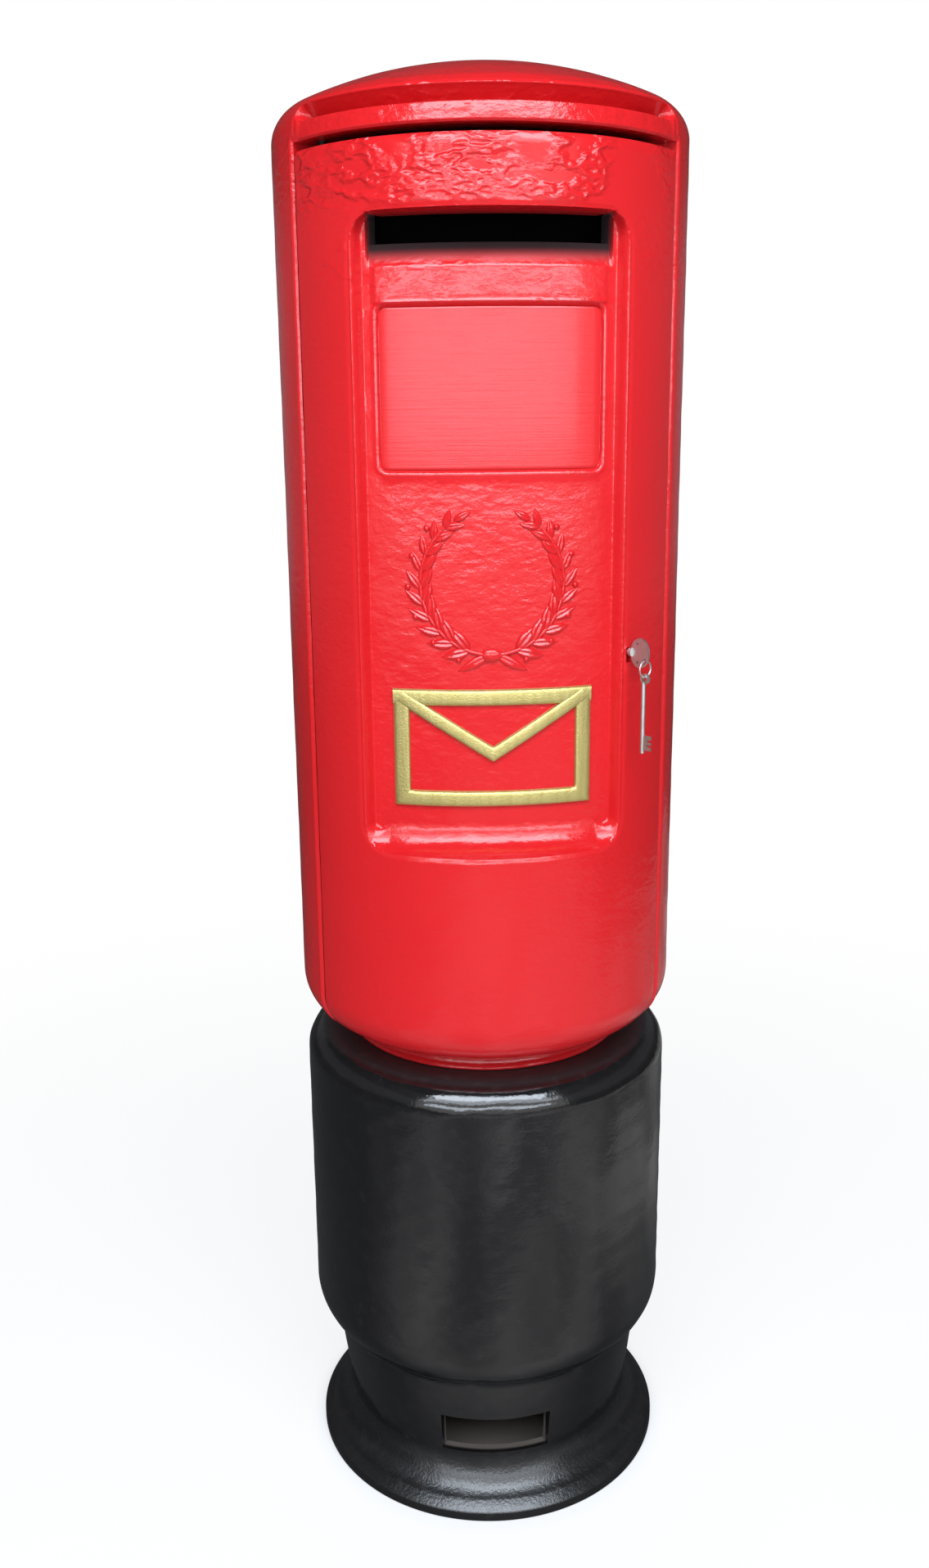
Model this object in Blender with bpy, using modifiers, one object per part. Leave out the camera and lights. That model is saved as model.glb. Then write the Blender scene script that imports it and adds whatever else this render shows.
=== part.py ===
"""A free-standing cast-iron pillar letter box: a red hollow cylinder with a domed roof and a hinged
front door, bolted to a black pedestal with a root that goes into the ground. Metres, +Z up, front -Y.

Azimuths are in degrees about +Z, from the front (-Y), positive towards +X.
"""

from math import acos, asin, atan2, cos, degrees, radians, sin, sqrt

import bmesh
import bpy
from mathutils import Matrix, Vector

# Driving dimensions of the castings
BODY_RADIUS = 0.240
WALL = 0.012
HEIGHT = 1.775
TURN_STEPS = 48
GAP = 0.0003

# Roof: a shallow spherical cap that runs into a rounded shoulder
SHOULDER_RADIUS = 0.040
SHOULDER_Z = 1.692
ROOF_RING_RADIUS = 0.203
ROOF_RING_Z = 1.676

# Foot of the body and the neck under it
FOOT_Z = 0.640
FOOT_ROUND = 0.055
FLOOR_TOP = 0.652
NECK_RADIUS = 0.174
NECK_BORE = 0.120

# Black pedestal
PEDESTAL_TOP = 0.615
PEDESTAL_RADIUS = 0.238
PEDESTAL_WALL = 0.014
PEDESTAL_SHOULDER = 0.035
SKIRT_Z = 0.240
SKIRT_ROUND = 0.060
ROOT_TOP = (0.210, 0.187)
ROOT_FOOT = (0.195, 0.068)
FLANGE_RADIUS = 0.2355
FLANGE_EDGE = 0.014
WINDOW = (0.141, 0.056)
WINDOW_Z = 0.102

# Door opening and door
JAMB_AZIMUTH = 60.6
DOOR_AZIMUTH = 59.8
DOOR_TOP = 1.671
OPENING_TOP = 1.680
COVE = (1.700, 1.7175, 0.2285)
SILL_RADIUS = 0.1875
LIP_RADIUS = 0.190
HINGE_RADIUS = 0.215
HINGE_AZIMUTH = -55.0
SCOOP_RADIUS = 0.0335
STOP_Z = (0.72, 1.65)

# Recess in the door: a shallow convex panel with sloping cheeks and sill
PANEL_RADIUS = 0.350
PANEL_FRONT = -0.205
PANEL_THICK = 0.012
PANEL_HALF = 0.128
RECESS_HALF = 0.149
RECESS_TOP = 1.601
RECESS_BOTTOM = 0.9066
SILL_SLOPE = 0.87
BACKING_HALF = 0.150
BACKING_Z = (0.888, 1.622)
SLOT_HALF = 0.1235
SLOT_Z = (1.571, 1.597)
NOTICE_HALF = 0.122
NOTICE_Z = (1.336, 1.509)
NOTICE_DEPTH = 0.004
CHUTE_START = (-0.195, 1.5665)
CHUTE_FALL = 0.5
CHUTE_HEIGHT = 0.062

# Raised work on the panel
WREATH_CENTRE = (0, 1.226)
WREATH_RADII = (0.066, 0.100)
WREATH_HALF = 0.113
WREATH_Z = (1.120, 1.312)
RELIEF_HEIGHT = 0.005
BADGE_HALF = 0.115
BADGE_Z = (0.962, 1.096)
BADGE_HEIGHT = 0.004
BADGE_BAR = 0.019
FLAP_TIP_Z = 1.022
FLAP_SLOPE = 0.625
FLAP_BAR = 0.0184

# Fixings: radii of screws and of the holes that they pass
JOINT_CIRCLE = 0.147
JOINT_BOLT = 0.006
JOINT_BORE = 0.0065
PIVOT_PIN = 0.005
PIVOT_BORE = 0.0054
LUG_HEIGHT = 0.0198
LOWER_LUG_Z = 0.7047
UPPER_LUG_Z = 1.651
RIB_SIDE = (0.013, 0.052)
RIB_THICK = 0.006
LOCK_SCREW_DEPTH = 0.164
LOCK_SCREW = 0.0025
LOCK_BORE = 0.0028
STRIKE_SCREW = 0.0026
STRIKE_BORE = 0.0031
CHUTE_SCREW = 0.002
CHUTE_BORE = 0.0024

# Mail guard: half width, heights, distance in front of the axis, and its slots
GUARD_HALF = 0.200
GUARD_Z = (0.668, 1.000)
GUARD_DEPTH = (0.054, 0.056)
GUARD_SLOT = (0.053, 0.092)
GUARD_PITCH = (0.0625, 0.103)
GUARD_FIRST = (-0.183, 0.685)
CLIP_Z = (0.955, 0.985)
CLIP_REACH = (0.186, 0.221)

# Lock: tangential, vertical and radial ranges about the key's axis
KEY_AZIMUTH = 40.6
KEY_Z = 1.1336
CASE_SIDE = (-0.030, 0.075)
CASE_HALF_HEIGHT = 0.060
CASE_DEPTH = (0.150, 0.178)
CASE_WALL = 0.003
BOLT_HEIGHT = (0.014, 0.038)
BOLT_DEPTH = (0.158, 0.170)
BOLT_SIDE = (-0.018, 0.0745)
KEY_SHANK = 0.003
BIT_REACH = 0.011
BIT_THICK = 0.0026
BOW_HALF = (0.017, 0.013)
BOW_DEPTH = 0.2570
RING_HOLE = (-0.008, 0.2650)
RING_RADIUS = 0.0095
RING_WIRE = 0.0010
SPARE_LENGTH = 0.088

for old in list(bpy.data.objects):
    bpy.data.objects.remove(old)

parts = bpy.data.collections.new("pillar_letter_box")
cutters = bpy.data.collections.new("cutters")
for group in (parts, cutters):
    bpy.context.scene.collection.children.link(group)


def paint(name, colour, roughness, metallic):
    """A Principled material of one colour."""
    material = bpy.data.materials.new(name)
    material.use_nodes = True
    shader = material.node_tree.nodes["Principled BSDF"]
    shader.inputs["Base Color"].default_value = (*colour, 1.0)
    shader.inputs["Roughness"].default_value = roughness
    shader.inputs["Metallic"].default_value = metallic
    return material


RED = paint("red_enamel", (0.70, 0.018, 0.025), 0.25, 0.0)
BLACK = paint("black_paint", (0.012, 0.011, 0.012), 0.30, 0.0)
GILT = paint("gilt_paint", (0.52, 0.36, 0.11), 0.40, 0.6)
STEEL = paint("plain_steel", (0.42, 0.42, 0.43), 0.40, 1.0)
ZINC = paint("galvanised_sheet", (0.50, 0.52, 0.53), 0.50, 1.0)
BRASS = paint("lock_brass", (0.62, 0.45, 0.18), 0.35, 1.0)
NICKEL = paint("nickel_key", (0.66, 0.65, 0.63), 0.28, 1.0)


def polar(radius, azimuth, z=0.0):
    """The point at a radius and an azimuth."""
    return Vector((radius * sin(radians(azimuth)), -radius * cos(radians(azimuth)), z))


def axes(origin, x_axis, y_axis):
    """The frame with these two axes, and the third across them."""
    turned_axes = Matrix((x_axis, y_axis, x_axis.cross(y_axis))).transposed()
    return Matrix.Translation(origin) @ turned_axes.to_4x4()


X = Vector((1, 0, 0))
Y = Vector((0, 1, 0))
Z = Vector((0, 0, 1))
WORLD = Matrix.Identity(4)

# The lock's own directions: out along the key, and along the bolt
OUT = polar(1, KEY_AZIMUTH)
ALONG = Z.cross(OUT)
LOCK_FACE = axes(Z * KEY_Z, ALONG, Z)
LOCK_SIDE = axes(Z * KEY_Z, Z, OUT)
HINGE = polar(HINGE_RADIUS, HINGE_AZIMUTH)
HINGE_FRAME = axes(Vector(), polar(1, HINGE_AZIMUTH), Z.cross(polar(1, HINGE_AZIMUTH)))
FRONT = axes(Vector(), X, Z)
PANEL_CENTRE = Vector((0, PANEL_FRONT + PANEL_RADIUS, 0))


def add(name, mesh, material=None, frame=WORLD):
    """A part with its material, or a helper shape when it has none."""
    thing = bpy.data.objects.new(name, mesh)
    thing.matrix_world = frame
    (parts if material else cutters).objects.link(thing)
    if material:
        mesh.materials.append(material)
    else:
        thing.hide_render = True
        thing.display_type = "WIRE"
    return thing


def from_bmesh(shape, name):
    """A mesh made from a bmesh, which is then freed."""
    mesh = bpy.data.meshes.new(name)
    shape.to_mesh(mesh)
    shape.free()
    return mesh


def box(name, low, high, material=None, frame=WORLD):
    """A box between two corners of a frame."""
    low = Vector(low)
    high = Vector(high)
    shape = bmesh.new()
    place = Matrix.Translation((low + high) / 2) @ Matrix.Diagonal((*(high - low), 1))
    bmesh.ops.create_cube(shape, size=1.0, matrix=place)
    return add(name, from_bmesh(shape, name), material, frame)


def rod(name, start, end, radius, material=None, sides=16, top_radius=None):
    """A cylinder or cone from one point to another."""
    start = Vector(start)
    run = Vector(end) - start
    shape = bmesh.new()
    place = Matrix.Translation(start + run / 2) @ run.to_track_quat("Z", "Y").to_matrix().to_4x4()
    far = radius if top_radius is None else top_radius
    bmesh.ops.create_cone(shape, cap_ends=True, segments=sides, radius1=radius, radius2=far,
                          depth=run.length, matrix=place)
    made = add(name, from_bmesh(shape, name), material)
    made.data.shade_smooth()
    made.data.set_sharp_from_angle(angle=radians(35))
    return made


def plate(name, outlines, low, high, material=None, frame=WORLD):
    """A flat outline, with any holes, filled and given thickness along its frame's third axis."""
    curve = bpy.data.curves.new(name, "CURVE")
    curve.dimensions = "2D"
    curve.fill_mode = "BOTH"
    curve.extrude = (high - low) / 2
    for outline in outlines:
        spline = curve.splines.new("POLY")
        spline.points.add(len(outline) - 1)
        for point, place in zip(spline.points, outline):
            point.co = (place[0], place[1], 0, 1)
        spline.use_cyclic_u = True
    guide = bpy.data.objects.new(name + "_outline", curve)
    cutters.objects.link(guide)
    bpy.context.view_layer.update()
    mesh = bpy.data.meshes.new_from_object(guide.evaluated_get(bpy.context.evaluated_depsgraph_get()))
    bpy.data.objects.remove(guide)
    shape = bmesh.new()
    shape.from_mesh(mesh)
    bmesh.ops.remove_doubles(shape, verts=shape.verts, dist=1e-6)
    bmesh.ops.translate(shape, verts=shape.verts, vec=(0, 0, (low + high) / 2))
    bmesh.ops.recalc_face_normals(shape, faces=shape.faces)
    shape.to_mesh(mesh)
    shape.free()
    mesh.name = name
    mesh.materials.clear()
    return add(name, mesh, material, frame)


def turned(name, profile, closed, material=None):
    """A profile turned about +Z. It runs down the outer side and back up the inner one."""
    mesh = bpy.data.meshes.new(name)
    edges = [(i, i + 1) for i in range(len(profile) - 1)]
    if closed:
        edges.append((len(profile) - 1, 0))
    mesh.from_pydata([(r, 0, z) for r, z in profile], edges, [])
    made = add(name, mesh, material)
    screw = made.modifiers.new("turn", "SCREW")
    screw.steps = TURN_STEPS
    screw.render_steps = TURN_STEPS
    screw.use_merge_vertices = True
    screw.merge_threshold = 1e-5
    return made


def combine(target, tool, operation):
    """A Boolean of a helper shape on a part."""
    step = target.modifiers.new(f"{operation.lower()}_{tool.name}", "BOOLEAN")
    step.operation = operation
    step.object = tool
    step.solver = "EXACT"
    return target


def arc(centre, radius, start, end, count):
    """Points of a round stretch, from one angle to another in degrees, ends included."""
    angles = [radians(start + (end - start) * i / count) for i in range(count + 1)]
    return [(centre[0] + radius * cos(a), centre[1] + radius * sin(a)) for a in angles]


def sector(name, radii, azimuths, heights, material=None, centre=(0, 0), count=12):
    """Part of a ring between two radii, two azimuths and two heights."""
    first, last = (azimuth - 90 for azimuth in azimuths)
    outline = arc(centre, radii[1], first, last, count) + arc(centre, radii[0], last, first, count)
    return plate(name, [outline], *heights, material)


def rounded(half_width, low, high, radius, count=4):
    """A rectangle with round corners, centred on the second axis."""
    corners = [(half_width, high, 0), (-half_width, high, 90),
               (-half_width, low, 180), (half_width, low, 270)]
    outline = []
    for x, z, start in corners:
        inside = (x - radius * (1 if x > 0 else -1), z - radius * (1 if z == high else -1))
        outline += arc(inside, radius, start, start + 90, count)
    return outline


def foot_round(radius, to_radius, count=6):
    """The rounding at the body's foot, from the wall in to a smaller radius."""
    centre = (BODY_RADIUS - FOOT_ROUND, FOOT_Z + FOOT_ROUND)
    end = -degrees(acos((to_radius - centre[0]) / radius))
    return arc(centre, radius, 0, end, count)


def roof_profile(shrink):
    """The roof from the axis out to the wall, moved in by a wall thickness."""
    outer = SHOULDER_RADIUS - shrink
    centre = (BODY_RADIUS - SHOULDER_RADIUS, SHOULDER_Z)
    rise = HEIGHT - SHOULDER_Z - SHOULDER_RADIUS
    cap_less = (centre[0] ** 2 + rise ** 2) / (2 * rise)
    cap = cap_less + SHOULDER_RADIUS - shrink
    cap_centre = (0, HEIGHT - shrink - cap)
    join = degrees(atan2(centre[1] - cap_centre[1], centre[0]))
    return arc(cap_centre, cap, 90, join, 6)[:-1] + arc(centre, outer, join, 0, 5)


def make_pedestal():
    """The black base: a hollow casting with a rounded shoulder, a tapered root and a flange."""
    top = PEDESTAL_TOP - PEDESTAL_SHOULDER
    shoulder = arc((PEDESTAL_RADIUS - PEDESTAL_SHOULDER, top), PEDESTAL_SHOULDER, 90, 0, 6)
    skirt = arc((PEDESTAL_RADIUS - SKIRT_ROUND, SKIRT_Z), SKIRT_ROUND, 0, -45, 4)
    fillet = arc((0.243, 0.068), 0.048, 180, 250, 4)
    outer = [(NECK_BORE, PEDESTAL_TOP), *shoulder, *skirt, ROOT_TOP, *fillet,
             (FLANGE_RADIUS, FLANGE_EDGE), (FLANGE_RADIUS, 0.0)]
    inside = PEDESTAL_RADIUS - PEDESTAL_WALL
    inner = [(ROOT_FOOT[0] - 0.016, 0.0), (ROOT_FOOT[0] - 0.014, ROOT_FOOT[1]),
             (ROOT_TOP[0] - 0.016, ROOT_TOP[1] + 0.006), (inside, SKIRT_Z + 0.010), (inside, top - 0.006),
             (inside - 0.018, PEDESTAL_TOP - PEDESTAL_WALL), (NECK_BORE, PEDESTAL_TOP - PEDESTAL_WALL)]
    pedestal = turned("pedestal", outer + inner, True, BLACK)
    window = rounded(WINDOW[0] / 2, WINDOW_Z - WINDOW[1] / 2, WINDOW_Z + WINDOW[1] / 2, 0.006, 2)
    combine(pedestal, plate("window", [window], 0.12, 0.28, frame=FRONT), "DIFFERENCE")
    for bolt in range(4):
        place = bolt_place(bolt)
        bore = rod(f"pedestal_bore_{bolt + 1}", place + Z * 0.590, place + Z * 0.625, JOINT_BORE)
        combine(pedestal, bore, "DIFFERENCE")


def bolt_place(number):
    """The place of one of the four bolts that hold the body to the pedestal."""
    return polar(JOINT_CIRCLE, 45 + 90 * number)


def make_body():
    """The red body: roof, wall, foot and neck in one casting, cut open for the door."""
    foot = foot_round(FOOT_ROUND, BODY_RADIUS - FOOT_ROUND)
    inner_foot = foot_round(FOOT_ROUND - WALL, BODY_RADIUS - FOOT_ROUND)
    inside = BODY_RADIUS - WALL
    neck_foot = PEDESTAL_TOP + GAP
    roof_inside = [point for point in roof_profile(0.014) if point[0] < ROOF_RING_RADIUS - 0.004]
    profile = [*roof_profile(0), *foot, (NECK_RADIUS, FOOT_Z), (NECK_RADIUS, neck_foot),
               (NECK_BORE, neck_foot), (NECK_BORE, FLOOR_TOP), *inner_foot[::-1],
               (inside, ROOF_RING_Z - 0.014), (ROOF_RING_RADIUS, ROOF_RING_Z), *roof_inside[::-1]]
    body = turned("body_shell", profile, False, RED)
    opening = (-JAMB_AZIMUTH, JAMB_AZIMUTH)
    front = sector("opening", (SILL_RADIUS, 0.30), opening, (0.60, OPENING_TOP), count=18)
    combine(body, front, "DIFFERENCE")
    cove = sector("cove", (COVE[2], 0.30), opening, COVE[:2], count=18)
    combine(body, cove, "DIFFERENCE")
    for name, radii, azimuths in (("door_stop", (0.2145, 0.2268), (57.0, 63.4)),
                                  ("stop_web", (0.2200, 0.2320), (61.5, 63.3))):
        combine(body, sector(name, radii, azimuths, STOP_Z, count=3), "UNION")
    scoop = rod("hinge_scoop", HINGE + Z * 0.60, HINGE + Z * OPENING_TOP, SCOOP_RADIUS, sides=32)
    combine(body, scoop, "DIFFERENCE")
    socket = rod("pivot_socket", HINGE + Z * 1.66, HINGE + Z * 1.699, PIVOT_BORE)
    combine(body, socket, "DIFFERENCE")
    for bolt in range(4):
        place = bolt_place(bolt)
        bore = rod(f"body_bore_{bolt + 1}", place + Z * 0.60, place + Z * 0.67, JOINT_BORE)
        combine(body, bore, "DIFFERENCE")
    for number, place in enumerate(strike_screws()):
        across = Vector((place.x, place.y, 0)).normalized()
        bore = rod(f"strike_bore_{number + 1}", place - across * 0.01, place + across * 0.008, STRIKE_BORE,
                   sides=12)
        combine(body, bore, "DIFFERENCE")
    return body


def strike_screws():
    """The middle of each of the two screws that hold the bolt's keep to the wall."""
    return [polar(0.2245, 71.8) + Z * (KEY_Z + rise) for rise in (0.012, 0.040)]


def make_fixings():
    """The bolts and nuts between body and pedestal, and the floor plate over them."""
    for number in range(4):
        place = bolt_place(number)
        bolt = rod(f"joint_bolt_{number + 1}", place + Z * 0.584, place + Z * 0.655, JOINT_BOLT, STEEL, 12)
        head_foot = place + Z * (FLOOR_TOP + GAP)
        head = rod(f"bolt_head_{number + 1}", head_foot, place + Z * 0.660, 0.011, sides=6)
        combine(bolt, head, "UNION")
        nut_top = place + Z * (PEDESTAL_TOP - PEDESTAL_WALL - GAP)
        nut = rod(f"joint_nut_{number + 1}", nut_top - Z * 0.010, nut_top, 0.011, STEEL, 6)
        hole = rod(f"nut_bore_{number + 1}", place + Z * 0.58, place + Z * 0.61, 0.0064, sides=12)
        combine(nut, hole, "DIFFERENCE")
    floor = rod("mail_floor", Z * 0.6603, Z * 0.6633, 0.178, ZINC, 32)
    notch = box("floor_notch", (0.10, -0.014, 0.65), (0.20, 0.014, 0.68), frame=HINGE_FRAME)
    combine(floor, notch, "DIFFERENCE")


def make_lower_pivot():
    """The bracket on the body's floor that carries the door, with a washer under the door's lug."""
    bracket = box("lower_pivot_bracket", (0.125, -0.010, FLOOR_TOP + GAP), (0.172, 0.010, 0.702), STEEL,
                  HINGE_FRAME)
    arm = box("bracket_arm", (0.130, -0.008, 0.690), (0.224, 0.008, 0.7019), frame=HINGE_FRAME)
    combine(bracket, arm, "UNION")
    combine(bracket, rod("bracket_bore", HINGE + Z * 0.68, HINGE + Z * 0.71, 0.0055), "DIFFERENCE")
    washer = rod("thrust_washer", HINGE + Z * 0.7024, HINGE + Z * 0.7044, 0.009, BRASS, 20)
    combine(washer, rod("washer_bore", HINGE + Z * 0.70, HINGE + Z * 0.71, 0.0055), "DIFFERENCE")


def make_guard():
    """The slotted sheet that keeps the mail in when the door opens, and the clips that hold it."""
    low, high = GUARD_Z
    outline = [(-GUARD_HALF, low), (GUARD_HALF, low), (GUARD_HALF, high), (-GUARD_HALF, high)]
    slots = []
    for row in range(3):
        for column in range(6):
            left = GUARD_FIRST[0] + column * GUARD_PITCH[0]
            foot = GUARD_FIRST[1] + row * GUARD_PITCH[1]
            right, top = left + GUARD_SLOT[0], foot + GUARD_SLOT[1]
            slots.append([(left, foot), (right, foot), (right, top), (left, top)])
    plate("mail_guard", [outline, *slots], *GUARD_DEPTH, ZINC, FRONT)
    behind = -GUARD_DEPTH[0] + GAP
    for name, side in (("guard_clip_left", -1), ("guard_clip_right", 1)):
        left, right = sorted(side * reach for reach in CLIP_REACH)
        clip = box(name, (left, behind, CLIP_Z[0]), (right, behind + 0.003, CLIP_Z[1]), STEEL)
        pad = sector(name + "_pad", (0.2205, 0.2268), sorted((side * 76, side * 84)), CLIP_Z, count=3)
        combine(clip, pad, "UNION")


def make_door():
    """The door casting: a third of the wall with its foot, the recessed panel and the lugs inside."""
    inside = BODY_RADIUS - WALL
    outer_foot = foot_round(FOOT_ROUND, LIP_RADIUS)
    inner_foot = foot_round(FOOT_ROUND - WALL, LIP_RADIUS)
    profile = [(BODY_RADIUS, DOOR_TOP), *outer_foot, *inner_foot[::-1], (inside, DOOR_TOP)]
    door = turned("door", profile, True, RED)
    slice_of_wall = [(0, 0), *arc((0, 0), 0.30, -DOOR_AZIMUTH - 90, DOOR_AZIMUTH - 90, 12)]
    combine(door, plate("door_wedge", [slice_of_wall], 0.60, 1.70), "INTERSECT")
    back = PANEL_RADIUS - PANEL_THICK
    reach = degrees(asin(BACKING_HALF / back))
    front_reach = degrees(asin(BACKING_HALF / 0.234))
    backing = arc((0, 0), 0.234, -90 - front_reach, -90 + front_reach, 16)
    backing += arc(PANEL_CENTRE, back, -90 + reach, -90 - reach, 16)
    combine(door, plate("panel_backing", [backing], *BACKING_Z), "UNION")
    for name, low in (("lower_lug", LOWER_LUG_Z), ("upper_lug", UPPER_LUG_Z)):
        lug = box(name, (0.205, -0.010, low), (0.233, 0.010, low + LUG_HEIGHT), frame=HINGE_FRAME)
        combine(door, lug, "UNION")
    rib_foot = CASE_HALF_HEIGHT + GAP
    for name, low in (("upper_rib", rib_foot), ("lower_rib", -rib_foot - RIB_THICK)):
        corners = (RIB_SIDE[0], low, CASE_DEPTH[0]), (RIB_SIDE[1], low + RIB_THICK, BODY_RADIUS - WALL)
        combine(door, box(name, *corners, frame=LOCK_FACE), "UNION")
    combine(door, recess_cutter(), "DIFFERENCE")
    slot = box("slot", (-SLOT_HALF, -0.25, SLOT_Z[0]), (SLOT_HALF, -0.14, SLOT_Z[1]))
    combine(door, slot, "DIFFERENCE")
    notice = degrees(asin(NOTICE_HALF / PANEL_RADIUS))
    pocket = sector("notice_pocket", (PANEL_RADIUS - NOTICE_DEPTH, PANEL_RADIUS + 0.01), (-notice, notice),
                    NOTICE_Z, centre=PANEL_CENTRE, count=16)
    combine(door, pocket, "DIFFERENCE")
    for cutter in keyhole_cutters("door", 0.20, 0.26):
        combine(door, cutter, "DIFFERENCE")
    for name, low, high in (("lower_bore", 0.69, 0.73), ("upper_bore", 1.63, 1.69)):
        combine(door, rod(name, HINGE + Z * low, HINGE + Z * high, PIVOT_BORE - 0.0001), "DIFFERENCE")
    for number, (x, z) in enumerate(chute_screws()):
        bore = rod(f"chute_bore_{number + 1}", (x, -0.169, z), (x, -0.14, z), CHUTE_BORE, sides=12)
        combine(door, bore, "DIFFERENCE")
    for number, (side, sign) in enumerate(lock_screws()):
        place = LOCK_FACE @ Vector((side, 0, LOCK_SCREW_DEPTH))
        up = Z * sign
        bore = rod(f"rib_bore_{number + 1}", place + up * 0.050, place + up * 0.080, LOCK_BORE, sides=12)
        combine(door, bore, "DIFFERENCE")
    rod("upper_pivot_pin", HINGE + Z * 1.640, HINGE + Z * 1.694, PIVOT_PIN, STEEL)
    rod("lower_pivot_pin", HINGE + Z * 0.688, HINGE + Z * 0.730, PIVOT_PIN, STEEL)


def recess_cutter():
    """The recess: the panel's curve, cheeks that slope out to the wall, a flat head and a sloping sill."""
    reach = degrees(asin(PANEL_HALF / PANEL_RADIUS))
    panel = arc(PANEL_CENTRE, PANEL_RADIUS, -90 - reach, -90 + reach, 16)
    edge_y = -sqrt(BODY_RADIUS ** 2 - RECESS_HALF ** 2)
    slope = (edge_y - panel[-1][1]) / (RECESS_HALF - PANEL_HALF)
    wide = RECESS_HALF + 0.03
    wide_y = edge_y + slope * 0.03
    outline = [*panel, (wide, wide_y), (wide, -0.27), (-wide, -0.27), (-wide, wide_y)]
    cutter = plate("recess", [outline], RECESS_BOTTOM, RECESS_TOP)
    for vertex in cutter.data.vertices:
        if vertex.co.z < RECESS_BOTTOM + 0.1:
            vertex.co.z = RECESS_BOTTOM + SILL_SLOPE * (vertex.co.y + BODY_RADIUS)
    return cutter


def keyhole_cutters(name, low, high):
    """The round hole for the key's shank and the slot for its bit."""
    hole = rod(f"{name}_keyhole", OUT * low + Z * KEY_Z, OUT * high + Z * KEY_Z, 0.0042, sides=20)
    slot = box(f"{name}_key_slot", (-0.0021, -0.0135, low), (0.0021, 0.0, high), frame=LOCK_FACE)
    return hole, slot


def make_panel_pieces():
    """The notice plate, the relief and the gilt badge, all bent to the panel."""
    notice = degrees(asin((NOTICE_HALF - 0.001) / PANEL_RADIUS))
    depth = PANEL_RADIUS - NOTICE_DEPTH
    sector("notice_plate", (depth + GAP, depth + 0.0020), (-notice, notice),
           (NOTICE_Z[0] + 0.001, NOTICE_Z[1] - 0.001), RED, PANEL_CENTRE, 16)
    wide = degrees(asin(WREATH_HALF / PANEL_RADIUS))
    relief = sector("wreath_relief", (PANEL_RADIUS + GAP, PANEL_RADIUS + RELIEF_HEIGHT), (-wide, wide),
                    WREATH_Z, RED, PANEL_CENTRE, 16)
    crescent = arc(WREATH_CENTRE, WREATH_RADII[1], -235, 55, 24)
    crescent += arc(WREATH_CENTRE, WREATH_RADII[0], 55, -235, 24)
    combine(relief, plate("wreath_outline", [crescent], 0.10, 0.25, frame=FRONT), "INTERSECT")
    make_badge()


def make_badge():
    """The gilt badge: an envelope of bars, with one opening above its flap and one below."""
    wide = degrees(asin(BADGE_HALF / PANEL_RADIUS))
    badge = sector("letter_badge", (PANEL_RADIUS + GAP, PANEL_RADIUS + BADGE_HEIGHT), (-wide, wide),
                   BADGE_Z, GILT, PANEL_CENTRE, 16)
    low, high = BADGE_Z[0] + BADGE_BAR, BADGE_Z[1] - BADGE_BAR
    inside = BADGE_HALF - BADGE_BAR
    flap_top, flap_foot = FLAP_TIP_Z + FLAP_BAR / 2, FLAP_TIP_Z - FLAP_BAR / 2
    corner = (high - flap_top) / FLAP_SLOPE
    shoulder = flap_foot + FLAP_SLOPE * inside
    above = [(-corner, high), (0, flap_top), (corner, high)]
    below = [(-inside, low), (inside, low), (inside, shoulder), (0, flap_foot), (-inside, shoulder)]
    for name, outline in (("above_flap", above), ("below_flap", below)):
        combine(badge, plate(name, [outline], 0.10, 0.25, frame=FRONT), "DIFFERENCE")


def chute_screws():
    """The two screws of the chute, left and right of the slot."""
    return [(-0.139, 1.586), (0.139, 1.586)]


def make_chute():
    """The sheet-metal chute that leads letters from the slot down into the box."""
    def run(front, back, lift, drop):
        lines = [(y, CHUTE_START[1] - CHUTE_FALL * (y - CHUTE_START[0])) for y in (front, back)]
        return [(lines[0][0], lines[0][1] + lift), (lines[1][0], lines[1][1] + lift),
                (lines[1][0], lines[1][1] + drop), (lines[0][0], lines[0][1] + drop)]

    sideways = axes(Vector(), Y, Z)
    chute = plate("letter_chute", [run(-0.200, -0.100, 0.0, CHUTE_HEIGHT)], -0.130, 0.130, ZINC, sideways)
    for number, (x, z) in enumerate(chute_screws()):
        near, far = sorted((x * 0.90, x * 1.058))
        tab = box(f"chute_tab_{number + 1}", (near, -0.19, z - 0.012), (far, -0.1545, z + 0.012))
        combine(chute, tab, "UNION")
    hollow = run(-0.30, -0.05, 0.002, CHUTE_HEIGHT - 0.002)
    inner = plate("chute_bore", [hollow], -0.128, 0.128, frame=sideways)
    combine(chute, inner, "DIFFERENCE")
    clear = PANEL_RADIUS - PANEL_THICK - 0.001
    behind = rod("behind_panel", PANEL_CENTRE + Z * 1.4, PANEL_CENTRE + Z * 1.7, clear, sides=96)
    combine(chute, behind, "INTERSECT")
    for number, (x, z) in enumerate(chute_screws()):
        bore = rod(f"tab_bore_{number + 1}", (x, -0.2, z), (x, -0.12, z), CHUTE_BORE, sides=12)
        combine(chute, bore, "DIFFERENCE")
        screw = rod(f"chute_screw_{number + 1}", (x, -0.168, z), (x, -0.1535, z), CHUTE_SCREW, STEEL, 12)
        head = rod(f"chute_head_{number + 1}", (x, -0.1542, z), (x, -0.1515, z), 0.004, sides=12)
        combine(screw, head, "UNION")


def lock_screws():
    """The four screws through the ribs: tangential place and up or down."""
    return [(side, sign) for side in (0.022, 0.044) for sign in (1, -1)]


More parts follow.
